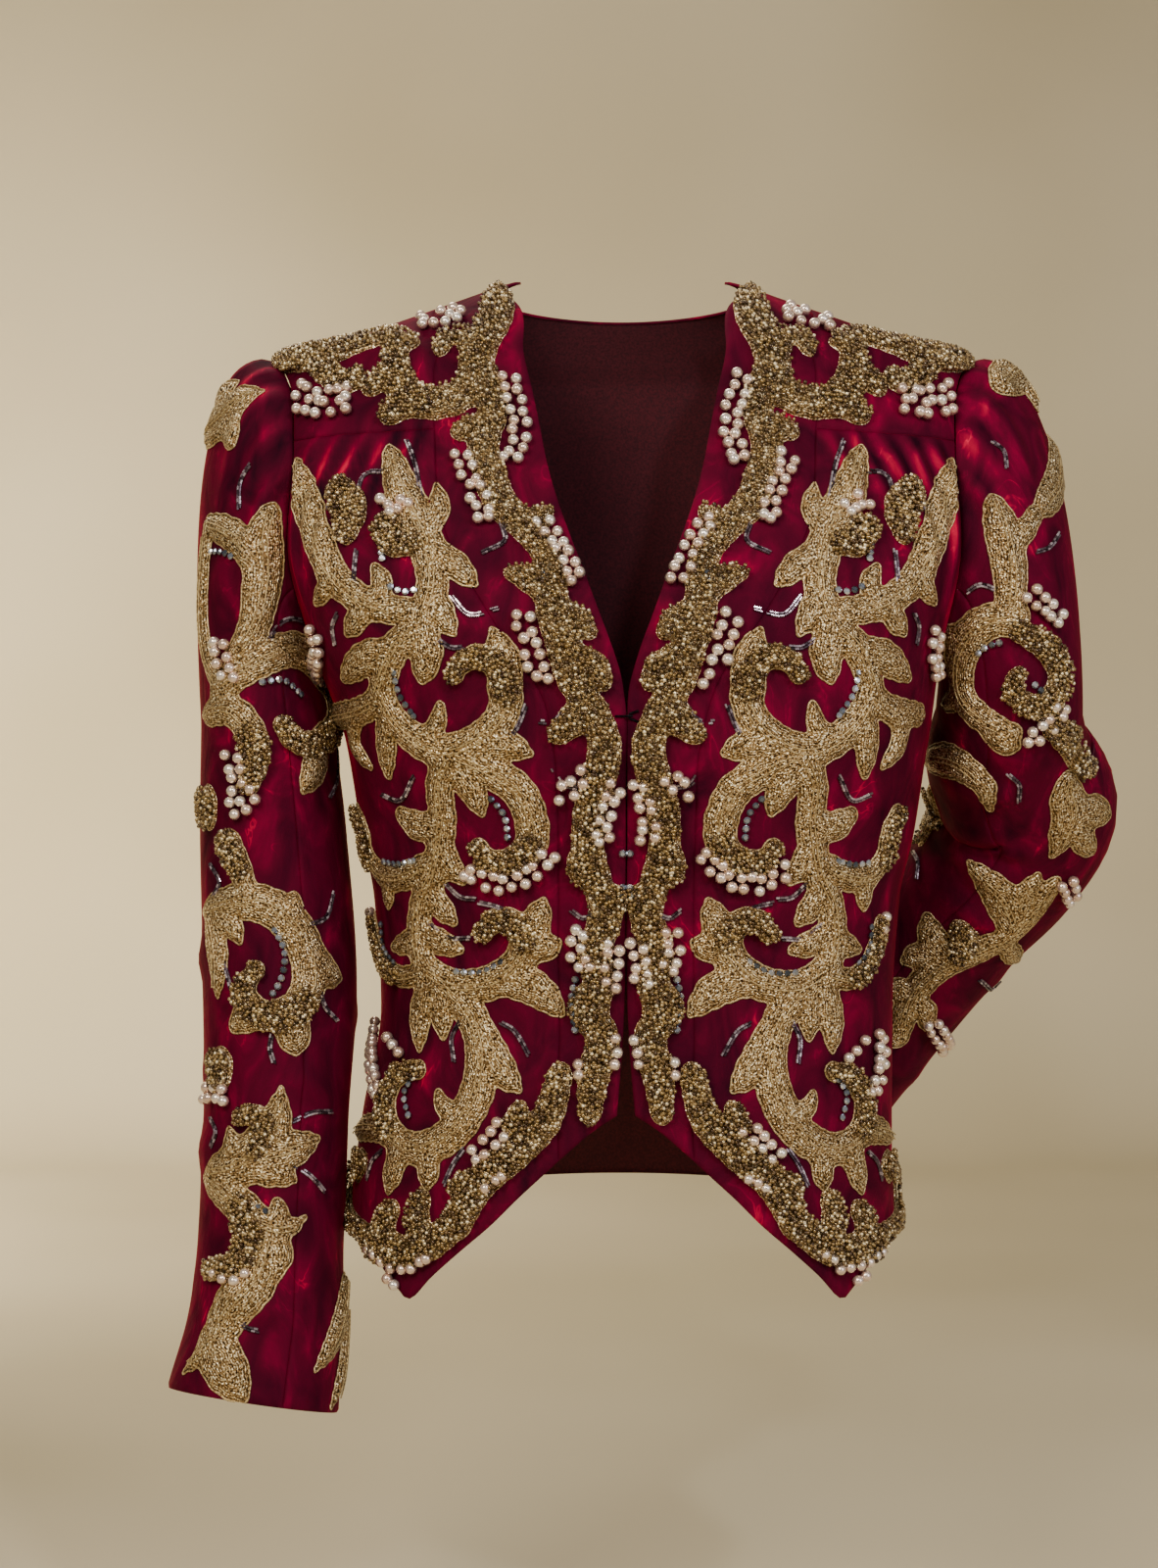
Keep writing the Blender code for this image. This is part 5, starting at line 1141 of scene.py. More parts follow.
def ball(rings, sides):
    """Corners and faces of a ball of radius one: rings of latitude between two poles, faces outwards."""
    tilt = np.pi * np.arange(1, rings) / rings
    turn = 2 * np.pi * np.arange(sides) / sides
    body = np.stack([
        np.sin(tilt)[:, None] * np.cos(turn)[None, :], np.sin(tilt)[:, None] * np.sin(turn)[None, :],
        np.cos(tilt)[:, None] + 0 * turn[None, :],
    ], axis=-1).reshape(-1, 3)
    corners = np.concatenate([[[0, 0, 1]], body, [[0, 0, -1]]])
    k = np.arange(sides)
    n = (k + 1) % sides
    faces = [np.stack([0 * k, 1 + k, 1 + n], axis=1)]
    for r in range(rings - 2):
        a = 1 + r * sides
        faces.append(np.stack([a + k, a + sides + k, a + sides + n], axis=1))
        faces.append(np.stack([a + k, a + sides + n, a + n], axis=1))
    a = 1 + (rings - 2) * sides
    foot = len(corners) - 1
    faces.append(np.stack([a + k, foot + 0 * k, a + n], axis=1))
    return corners, np.concatenate(faces)


def stone_shape():
    """A cut stone: a flat eight-sided table, a slanting crown and a flat foot, of radius one."""
    sides = 8
    table_radius = 0.55
    foot_radius = 0.9
    table_z = 0.62
    girdle_z = 0.2
    k = np.arange(sides)
    n = (k + 1) % sides
    turn = 2 * np.pi * k / sides
    ring = np.stack([np.cos(turn), np.sin(turn)], axis=1)
    corners = np.concatenate([
        np.column_stack([ring * table_radius, np.full(sides, table_z)]),
        np.column_stack([ring, np.full(sides, girdle_z)]),
        np.column_stack([ring * foot_radius, np.full(sides, -girdle_z)]),
        [[0, 0, table_z], [0, 0, -girdle_z]],
    ])
    foot = 2 * sides
    middle = 3 * sides
    faces = [
        np.stack([k, n, middle + 0 * k], axis=1), np.stack([k, sides + k, sides + n], axis=1),
        np.stack([k, sides + n, n], axis=1), np.stack([sides + k, foot + k, foot + n], axis=1),
        np.stack([sides + k, foot + n, sides + n], axis=1),
        np.stack([foot + n, foot + k, middle + 1 + 0 * k], axis=1),
    ]
    return corners, np.concatenate(faces)


def tube_shape():
    """A bugle bead: a closed six-sided rod along x, one long and one wide."""
    sides = 6
    k = np.arange(sides)
    n = (k + 1) % sides
    turn = 2 * np.pi * k / sides
    ring = np.stack([np.cos(turn), np.sin(turn)], axis=1) * 0.5
    corners = np.concatenate([
        np.column_stack([np.full(sides, -0.5), ring]), np.column_stack([np.full(sides, 0.5), ring]),
        [[-0.5, 0, 0], [0.5, 0, 0]],
    ])
    faces = [
        np.stack([k, n, sides + n], axis=1), np.stack([k, sides + n, sides + k], axis=1),
        np.stack([n, k, 2 * sides + 0 * k], axis=1),
        np.stack([sides + k, sides + n, 2 * sides + 1 + 0 * k], axis=1),
    ]
    return corners, np.concatenate(faces)


def copies(shape, places, axes, sizes):
    """One shape set down at many places: its corners times each size along three axes, plus the place."""
    corners, faces = shape
    scaled = corners[None, :, :] * sizes[:, None, :]
    turned = np.einsum("ncj,njk->nck", scaled, axes)
    all_corners = (turned + places[:, None, :]).reshape(-1, 3)
    first = np.arange(len(places)) * len(corners)
    return all_corners, (faces[None, :, :] + first[:, None, None]).reshape(-1, faces.shape[1])


def axes_on(surface, u, v, heading):
    """Three axes at pattern points: along the heading, to its left, and out of the cloth."""
    across, rise, normal, _, _ = surface.frame_at(u, v)
    turn = np.radians(heading)[..., None]
    along = np.cos(turn) * across + np.sin(turn) * rise
    left = np.cos(turn) * rise - np.sin(turn) * across
    return np.stack([along, left, normal], axis=-2)


def rows_on(piece, runs, mirrored, pitch, gap, clear):
    """Pattern points and headings along rows on a piece: every pitch along, and side by side with a gap."""
    us, vs, hs = [], [], []
    for r in runs:
        spots, headings, length = along_points(piece.surface, r.points, mirrored)
        run = np.linspace(0, length, len(spots))
        for k in range(r.abreast):
            at = np.arange(pitch * 0.5 * (k % 2), length + pitch * 0.4, pitch)
            u = np.interp(at, run, spots[:, 0])
            v = np.interp(at, run, spots[:, 1])
            h = np.interp(at, run, headings)
            off = (k - (r.abreast - 1) / 2) * gap
            u, v = piece.surface.step(u, v, h + 90, np.full(len(at), off))
            us.append(u)
            vs.append(v)
            hs.append(h)
    u, v, h = np.concatenate(us), np.concatenate(vs), np.concatenate(hs)
    kept = piece.holds(u, v, clear)
    return u[kept], v[kept], h[kept]


def linear(code):
    """An sRGB hex colour as linear red, green, blue and one."""
    parts = [int(code[i : i + 2], 16) / 255 for i in (1, 3, 5)]
    return tuple(c / 12.92 if c <= 0.04045 else ((c + 0.055) / 1.055) ** 2.4 for c in parts) + (1.0,)


def node(tree, kind, attributes=None, inputs=None, links=None):
    """Adds one node, with its settings, its sockets' values and links into it from (node, output) pairs."""
    made = tree.nodes.new(kind)
    for name, value in (attributes or {}).items():
        setattr(made, name, value)
    for name, value in (inputs or {}).items():
        made.inputs[name].default_value = value
    for name, (other, socket) in (links or {}).items():
        tree.links.new(other.outputs[socket], made.inputs[name])
    return made


def ramp(tree, source, stops):
    """A colour ramp from a value through colours, hex or linear, at their places."""
    made = node(tree, "ShaderNodeValToRGB", links={"Fac": source})
    elements = made.color_ramp.elements
    while len(elements) > 1:
        elements.remove(elements[0])
    for k, (place, code) in enumerate(stops):
        element = elements[0] if k == 0 else elements.new(place)
        element.position = place
        element.color = linear(code) if isinstance(code, str) else code
    return made


def finish(name, **sockets):
    """A Principled BSDF material and its tree, with uniform values on the shader's own sockets."""
    material = bpy.data.materials.new(name)
    material.use_nodes = True
    tree = material.node_tree
    shader = tree.nodes["Principled BSDF"]
    for socket, value in sockets.items():
        shader.inputs[socket.replace("_", " ")].default_value = value
    return material, tree, shader


def noise(tree, source, **settings):
    """Noise read at a vector."""
    return node(tree, "ShaderNodeTexNoise", inputs=settings, links={"Vector": source})


def maths(tree, operation, *operands):
    """One operation on numbers and (node, output) pairs, in their order."""
    values = {k: o for k, o in enumerate(operands) if not isinstance(o, tuple)}
    links = {k: o for k, o in enumerate(operands) if isinstance(o, tuple)}
    return node(tree, "ShaderNodeMath", {"operation": operation}, values, links), "Value"


def bump(tree, strength, distance, height, below=None):
    """A relief from a height, over another relief if there is one."""
    links = {"Height": height}
    if below:
        links["Normal"] = below
    sizes = {"Strength": strength, "Distance": distance}
    return node(tree, "ShaderNodeBump", inputs=sizes, links=links), "Normal"


def feed(tree, shader, **sources):
    """Links (node, output) pairs to the shader's sockets."""
    for name, (made, output) in sources.items():
        tree.links.new(made.outputs[output], shader.inputs[name.replace("_", " ")])


def speckled_finish(name, scale, detail, stops, **sockets):
    """A finish whose colour varies over small specks."""
    material, tree, shader = finish(name, **sockets)
    place = node(tree, "ShaderNodeTexCoord")
    specks = noise(tree, (place, "Object"), Scale=scale, Detail=detail)
    feed(tree, shader, Base_Color=(ramp(tree, (specks, "Fac"), stops), "Color"))
    return material, tree, shader, specks


def toned_finish(name, stops, **sockets):
    """A finish in which each bead or stone has a colour of its own, read from its tone."""
    material, tree, shader = finish(name, **sockets)
    tone = node(tree, "ShaderNodeAttribute", {"attribute_name": "tone"})
    feed(tree, shader, Base_Color=(ramp(tree, (tone, "Fac"), stops), "Color"))
    return material


def velvet_finish(looks):
    """Silk velvet, woven with a cut pile and worn: the nap lies in soft crushed patches.

    Light and shade are painted into its colour: painted highlight where it would lean to the light and as
    streaks of painted sheen on the lighter patches, and on each fold painted highlight on one flank and
    painted shade, nearly black, on the other.
    """
    material, tree, shader = finish(
        "silk_velvet", Roughness=0.72, Sheen_Weight=0.26, Sheen_Roughness=0.3, Sheen_Tint=linear("#FF0840"),
        Specular_IOR_Level=0.06,
    )
    place = node(tree, "ShaderNodeTexCoord")
    stretched = node(
        tree, "ShaderNodeMapping", inputs={"Scale": (1, 1, 0.55), "Rotation": (0.1, 0.35, 0.2)},
        links={"Vector": (place, "Object")},
    )
    patches = noise(tree, (stretched, "Vector"), Scale=44, Detail=5, Roughness=0.5, Distortion=0.9)
    tone = node(tree, "ShaderNodeAttribute", {"attribute_name": "tone"})
    # Painted fold shading: the tone brightens one flank of each fold as painted highlight and darkens the
    # other as painted shade.
    lean = maths(tree, "MULTIPLY_ADD", (tone, "Fac"), 0.62, -0.31)
    both = maths(tree, "ADD", (patches, "Fac"), lean)
    # Painted sheen: thin bright streaks over the lighter patches are added to the colour as painted
    # highlight.
    lines = noise(tree, (stretched, "Vector"), Scale=24, Detail=3, Roughness=0.5, Distortion=2.4)
    streak = ramp(tree, (lines, "Fac"), [(0.535, "#000000"), (0.56, "#FFFFFF"), (0.585, "#000000")])
    patch = ramp(tree, (patches, "Fac"), [(0.46, "#000000"), (0.66, "#FFFFFF")])
    bright = maths(tree, "MULTIPLY", (streak, "Color"), (patch, "Color"))
    patches_and_painted_light = maths(tree, "MULTIPLY_ADD", bright, 0.15, both)
    # The darkest stops serve the painted shade of the folds, the brightest the painted highlight and sheen
    # streaks; the middle ones are the velvet's own colour in random patches.
    colour = ramp(tree, patches_and_painted_light, [
        (0.20, "#1E0011"), (0.40, "#42001B"), (0.55, looks.velvet_colour), (0.68, "#72002B"),
        (0.82, "#AE0438"), (0.98, "#EA1C4C"),
    ])
    pile = noise(tree, (place, "Object"), Scale=900, Detail=2)
    crush = bump(tree, 0.5, 0.003, (patches, "Fac"))
    nap = bump(tree, 0.25, 0.0006, (pile, "Fac"), crush)
    feed(tree, shader, Base_Color=(colour, "Color"), Normal=nap)
    return material


def velvet_back_finish(looks):
    """The reverse of the velvet: a plain matt weave without pile, darker than the front."""
    stops = [(0.35, "#3A0716"), (0.65, looks.reverse_colour)]
    return speckled_finish("velvet_reverse_weave", 700, 2, stops, Roughness=0.9)[0]


def gold_finish(looks):
    """Metal thread couched in rows that follow the edge, each turn in a tone of its own, with glints and
    shade painted into the colour.
    """
    material, tree, shader = finish("gold_thread_couching", Metallic=0.8, Roughness=0.34)
    place = node(tree, "ShaderNodeTexCoord")
    inside = node(tree, "ShaderNodeAttribute", {"attribute_name": "tone"})
    row = maths(tree, "SINE", maths(tree, "MULTIPLY", (inside, "Fac"), 2 * math.pi / ROW_PITCH))
    turns = node(
        tree, "ShaderNodeTexVoronoi", {"feature": "F1"}, {"Scale": 820, "Randomness": 1.0},
        {"Vector": (place, "Object")},
    )
    shade = noise(tree, (place, "Object"), Scale=800, Detail=3)
    # Painted glint and painted shade: the palest stop paints glints on the specks and the darkest paints
    # shade, and the rows turn lighter and darker as painted shade of the rounded threads; the specks' tone
    # also differs at random.
    mixed = maths(tree, "MULTIPLY_ADD", row, 0.055, (shade, "Fac"))
    colour = ramp(tree, mixed, [
        (0.34, "#281808"), (0.43, "#7A5C32"), (0.53, looks.gold_colour), (0.64, "#FFF0C8"),
    ])
    relief = bump(tree, 0.8, 0.0009, (turns, "Distance"))
    feed(tree, shader, Base_Color=(colour, "Color"), Normal=bump(tree, 0.5, 0.0004, row, relief))
    return material


def cord_finish(looks):
    """Pale gilt cord of two twisted threads, sewn along edges and veins."""
    stops = [(0.35, "#8A6E44"), (0.60, looks.cord_colour)]
    material, tree, shader, twist = speckled_finish(
        "gilt_twisted_cord", 700, 1, stops, Metallic=0.55, Roughness=0.4
    )
    feed(tree, shader, Normal=bump(tree, 0.6, 0.0005, (twist, "Fac")))
    return material


def bead_finish(looks):
    """Gold-lined glass seed beads: each bead has its own depth of colour and a sharp glint."""
    stops = [(0.0, "#3C2610"), (0.35, "#745A34"), (0.75, looks.bead_colour), (1.0, "#FFEEC4")]
    return toned_finish(
        "gold_lined_glass_beads", stops, Metallic=0.6, Roughness=0.2, Coat_Weight=0.5, Coat_Roughness=0.08
    )


def pearl_finish(looks):
    """Glass pearls with a nacre coat: warm cream, a soft pink cast and one clear highlight."""
    stops = [(0.0, "#E2C4B0"), (0.5, looks.pearl_colour), (1.0, "#FFF4E6")]
    return toned_finish(
        "nacre_coated_pearl", stops, Metallic=0.75, Roughness=0.2, Coat_Weight=1.0, Coat_Roughness=0.05
    )


def stone_finish(looks):
    """Foil-backed cut glass stones: mirror-bright facets in clear and smoky greys."""
    stops = [(0.0, "#4E5562"), (0.5, looks.stone_colour), (1.0, "#E4E8F0")]
    return toned_finish("foil_backed_cut_glass", stops, Metallic=0.85, Roughness=0.08)


def bugle_finish(looks):
    """Smoky lilac bugle beads of silver-lined glass tube."""
    stops = [(0.0, "#2E2028"), (0.5, looks.bugle_colour), (1.0, "#D8CCD2")]
    return toned_finish("silver_lined_bugle_glass", stops, Metallic=0.6, Roughness=0.22)


def steel_finish(looks):
    """Japanned steel wire of the hook and eye: black, smooth and half glossy."""
    stops = [(0.4, looks.steel_colour), (0.8, "#2A2A2E")]
    return speckled_finish("black_japanned_steel", 900, 2, stops, Metallic=0.9, Roughness=0.35)[0]


FINISHES = {
    "velvet": velvet_finish, "reverse": velvet_back_finish, "gold": gold_finish, "cord": cord_finish,
    "beads": bead_finish, "pearls": pearl_finish, "stones": stone_finish, "bugles": bugle_finish,
    "steel": steel_finish,
}

# What has been made so far: finishes, cut patterns, and what is sewn on each piece.
made_finishes = {}
pieces_cut = {}
sewn_on = {}


def material_for(word):
    """The finish of that name, made once."""
    if word not in made_finishes:
        made_finishes[word] = FINISHES[word](bpy.context.scene.jacket_looks)
    return made_finishes[word]


def painted_fold_shading(surface, spots):
    """Painted shading of the folds: half, and more (painted highlight) on the flank of a fold that rises to
    the right or upwards, less (painted shade) on the other flank.
    """
    small = 1.2
    upward = 0.6
    pull = 0.42
    u, v = spots[..., 0], spots[..., 1]
    slope = (surface.fold(u + small, v) - surface.fold(u - small, v)) / (2 * small)
    slope = slope + upward * (surface.fold(u, v + small) - surface.fold(u, v - small)) / (2 * small)
    return 0.5 + np.clip(slope * pull, -0.3, 0.42)


def cloth_object(piece, looks):
    """The velvet of one cut piece: a grid that turns in at its edges, with a thin wall inwards."""
    across = edge_shares(piece.width, looks.cloth_step, True)
    down = edge_shares(piece.height, looks.cloth_step, True)
    spots = piece.at(across, down)
    rows, columns = spots.shape[:2]
    near = np.minimum(
        np.minimum(across, 1 - across)[None, :] * piece.width,
        np.minimum(down, 1 - down)[:, None] * piece.height,
    )
    turn_depth = 0.9
    turn_width = 1.1
    turned = -turn_depth * np.exp(-((near / turn_width) ** 2))
    corners = piece.surface.raised(spots[..., 0], spots[..., 1], turned).reshape(-1, 3)
    # The tone on each corner is painted shading of the folds, lighter on one flank and darker on the other.
    made = mesh_object(
        piece.name + "_velvet", corners, grid_faces(rows, columns),
        [material_for("velvet"), material_for("reverse")], painted_fold_shading(piece.surface, spots).ravel(),
    )
    wall = made.modifiers.new("wall", "SOLIDIFY")
    wall.thickness = looks.cloth_thickness * MM
    wall.offset = -1
    wall.material_offset = 1
    wall.material_offset_rim = 0
    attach(made, "root")
    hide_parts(piece.name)
    return made


def decorate(name, corners, faces, word, slot, host, tone=None, smooth=True):
    """Adds what is sewn onto a piece, which rides with it."""
    made = mesh_object(name, corners, faces, [material_for(word)], tone, smooth)
    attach(made, "root")
    sewn_on.setdefault(host, []).append(made)
    return made


def all_pieces():
    """Every cut piece by its name, worked out once."""
    if not pieces_cut:
        for piece in body_pieces() + sleeve_pieces():
            pieces_cut[piece.name] = piece
    return pieces_cut


def strokes_on(piece):
    """The gold strokes and the beaded strokes that may lie on a piece."""
    if piece.name == "back":
        return [], []
    table = FRONT_SCROLLS + HEM_BORDER + BAND_VINE + YOKE_SCROLL
    if piece.name.startswith("sleeve"):
        table = SLEEVE_VINE if piece.name.endswith("_right") else SLEEVE_VINE_LEFT
    motifs = [Motif(piece.surface, s, piece.name.endswith("_left")) for s in table]
    return [m for m in motifs if m.beads > 0], [m for m in motifs if m.beads == 0]


def bead_places(piece, motifs, looks, seed):
    """Bead places on a shaken grid wherever the strokes are at least half a millimetre deep."""
    chance = np.random.default_rng(seed)
    across = edge_shares(piece.width, looks.bead_pitch, False)
    down = edge_shares(piece.height, looks.bead_pitch, False)
    spots = piece.at(across, down).reshape(-1, 2)
    _, _, _, right, up = piece.surface.frame_at(spots[:, 0], spots[:, 1])
    shake = (chance.random(spots.shape) - 0.5) * looks.bead_pitch * 0.8
    spots = spots + shake / np.stack([np.linalg.norm(right, axis=1), np.linalg.norm(up, axis=1)], axis=1)
    body = piece.surface.base(spots[:, 0], spots[:, 1])
    depth = inside_of(body, motifs)
    return spots[depth > 0.5], depth[depth > 0.5], chance


def size_prop(name, description, default, least):
    """A size in millimetres that a user may change."""
    return bpy.props.FloatProperty(name=name, description=f"{description}, mm", default=default, min=least)


def colour_prop(name, code):
    """A colour that a user may change, from its hex default."""
    return bpy.props.FloatVectorProperty(
        name=name, description=f"Main colour: {name.lower()}", subtype="COLOR", size=4, min=0, max=1,
        default=linear(code),
    )


class JacketLooks(bpy.types.PropertyGroup):
    """Sizes and colours that a user would change."""

    cloth_step: size_prop("Cloth step", "Grid spacing of the velvet", 4.5, 1)
    cloth_thickness: size_prop("Cloth thickness", "Wall of the velvet", 1.6, 0.5)
    bead_size: size_prop("Bead", "Width of a seed bead", 2.4, 1)
    bead_pitch: size_prop("Bead pitch", "Spacing of seed beads", 2.2, 1)
    pearl_size: size_prop("Pearl", "Width of a pearl", 6.9, 2)
    pearl_shake: size_prop("Pearl shake", "How far pearls stray from their rows", 2.4, 0)
    stone_size: size_prop("Stone", "Width of a cut stone", 4.2, 1)
    bugle_length: size_prop("Bugle bead", "Length of a bugle bead", 2.2, 1)
    bugle_width: size_prop("Bugle width", "Width of a bugle bead", 1.4, 1)
    velvet_colour: colour_prop("Velvet", "#560022")
    reverse_colour: colour_prop("Reverse of the velvet", "#54101F")
    gold_colour: colour_prop("Gold thread", "#BE9C66")
    cord_colour: colour_prop("Gilt cord", "#DCC48E")
    bead_colour: colour_prop("Seed beads", "#A48852")
    pearl_colour: colour_prop("Pearls", "#F6DECC")
    stone_colour: colour_prop("Cut stones", "#9AA2B0")
    bugle_colour: colour_prop("Bugle beads", "#74626C")
    steel_colour: colour_prop("Black steel", "#0B0B0D")


class JACKET_OT_cloth(bpy.types.Operator):
    """Make the eleven cut pieces of velvet"""

    bl_idname = "jacket.cloth"
    bl_label = "Velvet pieces"

    def execute(self, context):
        for piece in all_pieces().values():
            cloth_object(piece, context.scene.jacket_looks)
        return {"FINISHED"}


class JACKET_OT_applique(bpy.types.Operator):
    """Make the gold applique, its edge cord and its vein cords"""

    bl_idname = "jacket.applique"
    bl_label = "Gold applique"

    def execute(self, context):
        for name, piece in all_pieces().items():
            gold, beaded = strokes_on(piece)
            grounds = (("gold", gold, GOLD_LIFT), ("ground", beaded, BEADED_LIFT - GROUND_SINK))
            for kind, motifs, lift in grounds:
                made = applique_on(piece, motifs, lift) if motifs else None
                if made is None:
                    continue
                corners, faces, depth, cord = made
                decorate(f"{name}_{kind}", corners, faces, "gold", "gold_applique", name, depth)
                if kind == "gold":
                    decorate(f"{name}_gold_edge", *cord, "cord", "gold_cord", name)
            cords = vein_cords(piece, [m for m in gold if m.length > VEINED_FROM])
            if cords:
                decorate(f"{name}_veins", *cords, "cord", "gold_cord", name)
        return {"FINISHED"}


class JACKET_OT_beads(bpy.types.Operator):
    """Sew seed beads over the vines, the hem border and the curls of the gold scrolls"""

    bl_idname = "jacket.beads"
    bl_label = "Seed beads"

    def execute(self, context):
        looks = context.scene.jacket_looks
        for k, (name, piece) in enumerate(all_pieces().items()):
            gold, beaded = strokes_on(piece)
            curls = [m.beaded_part() for m in gold if m.beads < 1]
            if not beaded and not curls:
                continue
            spots, depth, chance = bead_places(piece, beaded + curls, looks, FIRST_SEED + k)
            if len(spots) == 0:
                continue
            count = len(spots)
            height = BEADED_LIFT + BEAD_CLEAR + soft_step(depth / BEAD_HEAP_DEPTH) * BEAD_HEAP
            height = height + chance.random(count) * BEAD_LOOSE
            places = piece.surface.raised(spots[:, 0], spots[:, 1], height)
            axes = axes_on(piece.surface, spots[:, 0], spots[:, 1], chance.random(count) * 360)
            sizes = np.stack([0.5 + BEAD_UNEVEN * chance.random(count)] * 3, axis=1) * looks.bead_size
            shape = ball(3, 5)
            corners, faces = copies(shape, places, axes, sizes)
            tone = np.repeat(chance.random(count), len(shape[0]))
            decorate(f"{name}_beads", corners, faces, "beads", "gold_beads", name, tone)
        return {"FINISHED"}


class JACKET_OT_jewels(bpy.types.Operator):
    """Sew on the pearls, the cut stones and the bugle bead tendrils"""

    bl_idname = "jacket.jewels"
    bl_label = "Pearls, stones and tendrils"

    def execute(self, context):
        looks = context.scene.jacket_looks
        size = looks.pearl_size
        long = looks.bugle_length
        wide = looks.bugle_width
        Kind = namedtuple("Kind", "word slot body right_sleeve left_sleeve pitch gap rise shape sizes smooth")
        kinds = [
            Kind(
                "pearls", "pearl",
                FRONT_PEARLS + BAND_PEARLS + YOKE_PEARLS, SLEEVE_PEARLS, SLEEVE_PEARLS_LEFT,
                size * 1.03, size * 0.96, size / 2, ball(6, 10), (size / 2,) * 3, True,
            ),
            Kind(
                "stones", "stone",
                FRONT_STONES + BAND_STONES, SLEEVE_STONES, SLEEVE_STONES_LEFT,
                STONE_PITCH, STONE_PITCH, STONE_RISE, stone_shape(), (looks.stone_size / 2,) * 3, False,
            ),
            Kind(
                "bugles", "bugle_beads",
                FRONT_TENDRILS + BAND_TENDRILS, SLEEVE_TENDRILS, SLEEVE_TENDRILS_LEFT,
                long + 0.2, wide * 1.1, wide * 0.6, tube_shape(), (long, wide, wide), False,
            ),
        ]
        for name, piece in all_pieces().items():
            if name == "back":
                continue
            mirrored = name.endswith("_left")
            for kind in kinds:
                word = kind.word
                runs = kind.body
                if name.startswith("sleeve"):
                    runs = kind.left_sleeve if mirrored else kind.right_sleeve
                chance = np.random.default_rng(len(name) + len(word))
                u, v, h = rows_on(piece, runs, mirrored, kind.pitch, kind.gap, SEAM_CLEAR)
                if len(u) == 0:
                    continue
                if word == "pearls":
                    u = u + (chance.random(len(u)) - 0.5) * looks.pearl_shake
                    v = v + (chance.random(len(v)) - 0.5) * looks.pearl_shake
                places = piece.surface.raised(u, v, kind.rise)
                sizes = np.array(kind.sizes)[None, :] * (0.94 + 0.1 * chance.random((len(u), 1)))
                corners, faces = copies(kind.shape, places, axes_on(piece.surface, u, v, h), sizes)
                tone = np.repeat(chance.random(len(u)), len(kind.shape[0]))
                decorate(f"{name}_{word}", corners, faces, word, kind.slot, name, tone, kind.smooth)
        return {"FINISHED"}


class JACKET_OT_closure(bpy.types.Operator):
    """Finish the hook and the eye in black steel"""

    bl_idname = "jacket.closure"
    bl_label = "Hook and eye"

    def execute(self, context):
        for name in ("hook", "eye"):
            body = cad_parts[name].data
            body.materials.clear()
            body.materials.append(material_for("steel"))
        return {"FINISHED"}


# The flat size of each piece as it is cut, in metres and square metres.
Cut = namedtuple("Cut", "width length area")


class JACKET_OT_declare(bpy.types.Operator):
    """Returns at once: it does not state the pieces' flat cuts or what is sewn on them"""

    bl_idname = "jacket.declare"
    bl_label = "Cut sizes"

    def execute(self, context):
        return {"FINISHED"}


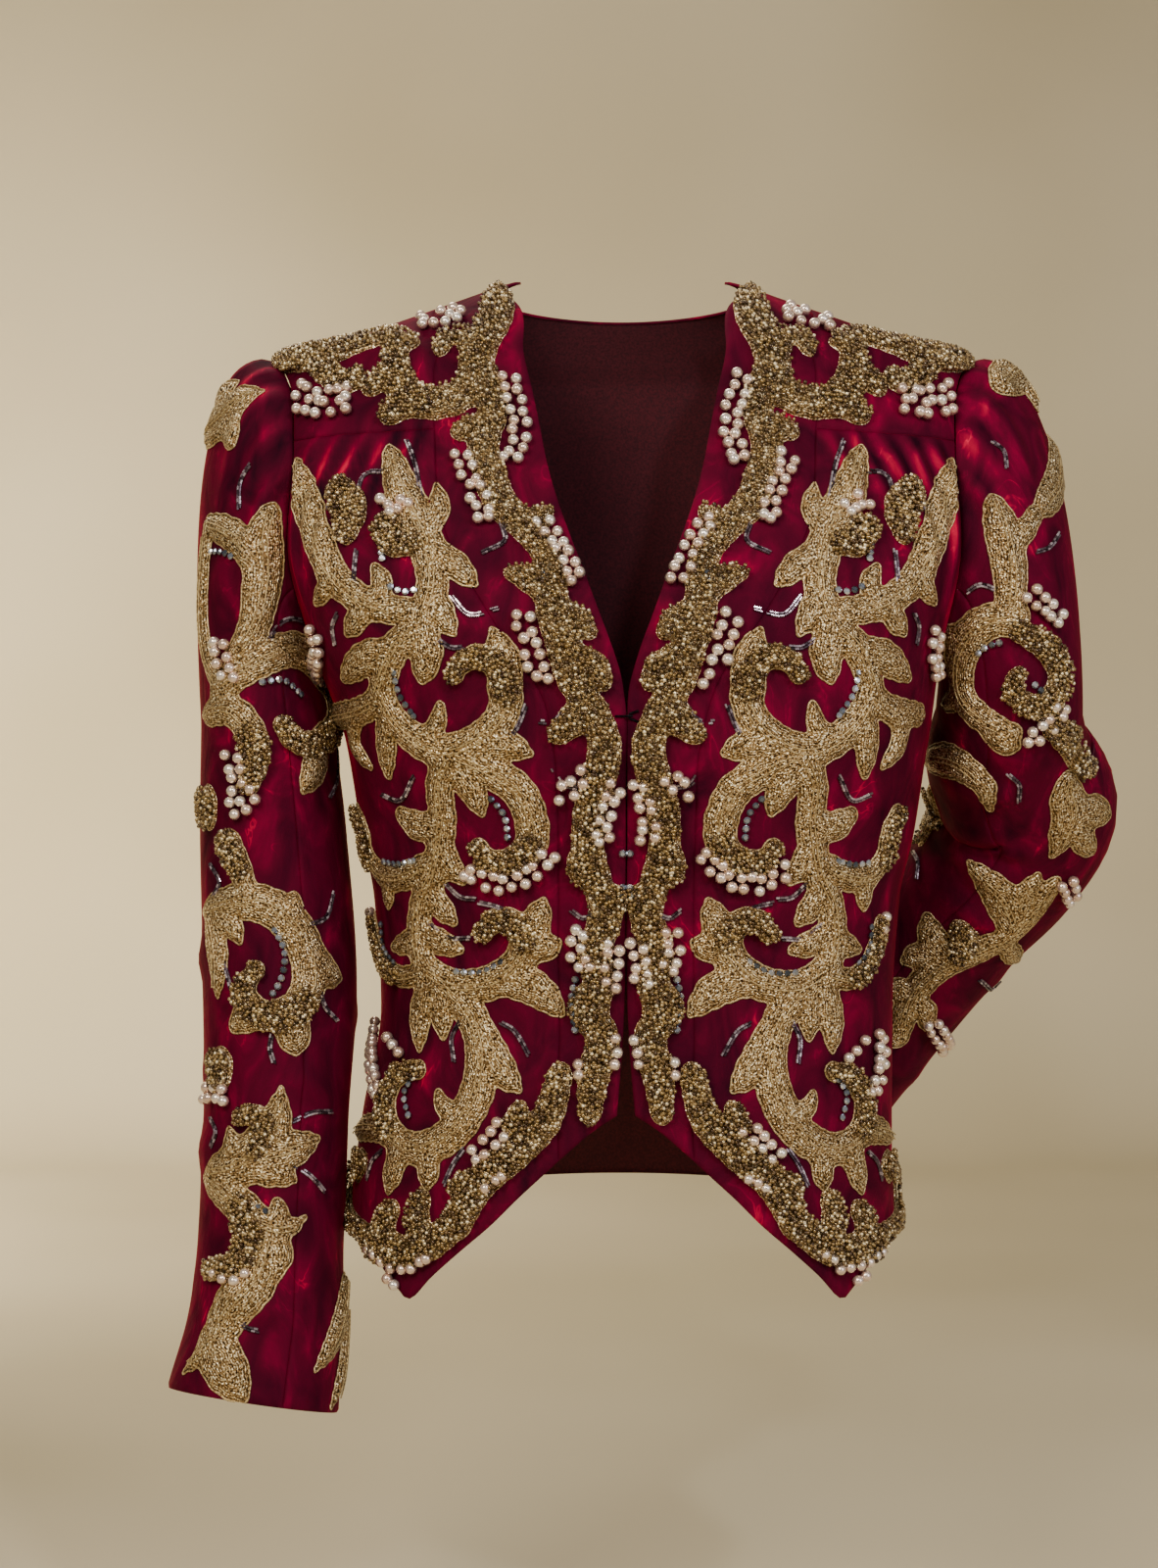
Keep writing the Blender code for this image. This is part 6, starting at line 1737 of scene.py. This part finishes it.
class JACKET_OT_stage(bpy.types.Operator):
    """Set up the pale backdrop, soft lights and the camera"""

    bl_idname = "jacket.stage"
    bl_label = "Stage"

    def execute(self, context):
        scene = context.scene
        material, tree, shader = finish("matt_painted_backdrop", Roughness=0.95)
        place = node(tree, "ShaderNodeTexCoord")
        cloud = noise(tree, (place, "Object"), Scale=1.2)
        colour = ramp(tree, (cloud, "Fac"), [(0.3, "#C1B492"), (0.7, "#D3C7A8")])
        feed(tree, shader, Base_Color=(colour, "Color"))
        bend = np.radians(np.linspace(0, 90, 13))
        floor_z = -860
        wall_y = 2600
        curve = 400
        half_width = 4200
        columns = 9
        cove = np.stack([
            wall_y - curve + curve * np.sin(bend), floor_z + curve * (1 - np.cos(bend)),
        ], axis=1)
        profile = np.concatenate([[[-wall_y, floor_z]], cove, [[wall_y, 3200]]])
        across = np.linspace(half_width, -half_width, columns)
        grid = np.stack([
            np.tile(across, len(profile)), np.repeat(profile[:, 0], columns),
            np.repeat(profile[:, 1], columns),
        ], axis=-1)
        floor = mesh_object("backdrop", grid, grid_faces(len(profile), columns), [material])
        world = bpy.data.worlds.new("soft_room")
        world.use_nodes = True
        world.node_tree.nodes["Background"].inputs["Color"].default_value = linear("#DCD6CC")
        world.node_tree.nodes["Background"].inputs["Strength"].default_value = 0.42
        scene.world = world
        Lamp = namedtuple("Lamp", "name x y z size power color aim")
        lamps = [
            Lamp("key", -0.9, -1.9, 0.9, 0.8, 34, "#FFF3E2", (0, 0, -0.3)),
            Lamp("fill", 1.5, -1.5, 0.1, 1.2, 14, "#F6F2FF", (0, 0, -0.3)),
            Lamp("glint", 0.5, -1.7, 0.8, 0.12, 10, "#FFFFFF", (0, 0, -0.3)),
            Lamp("rim", -0.4, 0.6, 1.2, 0.9, 14, "#FFF6E6", (0, 0, -0.3)),
            Lamp("wall", -1.7, 1.3, -0.4, 1.0, 56, "#FFF2DE", (-0.9, 2.6, -0.4)),
        ]
        for lamp in lamps:
            data = bpy.data.lights.new(lamp.name, "AREA")
            data.size = lamp.size
            data.energy = lamp.power
            data.color = linear(lamp.color)[:3]
            made = bpy.data.objects.new(lamp.name, data)
            made.location = (lamp.x, lamp.y, lamp.z)
            aim = Vector(lamp.aim) - made.location
            made.rotation_euler = aim.to_track_quat("-Z", "Y").to_euler()
            scene.collection.objects.link(made)
        lens = bpy.data.cameras.new("camera")
        sensor = 36
        distance = 1.5
        seen_height = 0.928
        lens.sensor_width = sensor
        lens.lens = sensor * distance / seen_height
        camera = bpy.data.objects.new("camera", lens)
        camera.location = (-0.026, -distance, -0.299)
        camera.rotation_euler = (math.pi / 2, 0, 0)
        scene.collection.objects.link(camera)
        scene.camera = camera
        return {"FINISHED"}


class JACKET_PT_panel(bpy.types.Panel):
    """Buttons for each group of pieces and the sizes they use"""

    bl_idname = "JACKET_PT_panel"
    bl_label = "Embroidered velvet jacket"
    bl_space_type = "VIEW_3D"
    bl_region_type = "UI"
    bl_category = "Jacket"

    def draw(self, context):
        looks = context.scene.jacket_looks
        for name in JacketLooks.__annotations__:
            self.layout.prop(looks, name)
        for operator in STEPS:
            self.layout.operator(operator)


STEPS = [
    "jacket.stage", "jacket.cloth", "jacket.applique", "jacket.beads", "jacket.jewels", "jacket.closure",
    "jacket.declare",
]
CLASSES = [
    JacketLooks, JACKET_OT_cloth, JACKET_OT_applique, JACKET_OT_beads, JACKET_OT_jewels, JACKET_OT_closure,
    JACKET_OT_declare, JACKET_OT_stage, JACKET_PT_panel,
]


def register():
    for each in CLASSES:
        bpy.utils.register_class(each)
    bpy.types.Scene.jacket_looks = bpy.props.PointerProperty(type=JacketLooks)


def unregister():
    del bpy.types.Scene.jacket_looks
    for each in reversed(CLASSES):
        bpy.utils.unregister_class(each)


def main():
    """Makes every piece in order."""
    register()
    for step in STEPS:
        group, word = step.split(".")
        getattr(getattr(bpy.ops, group), word)()


if __name__ == "__main__":
    main()
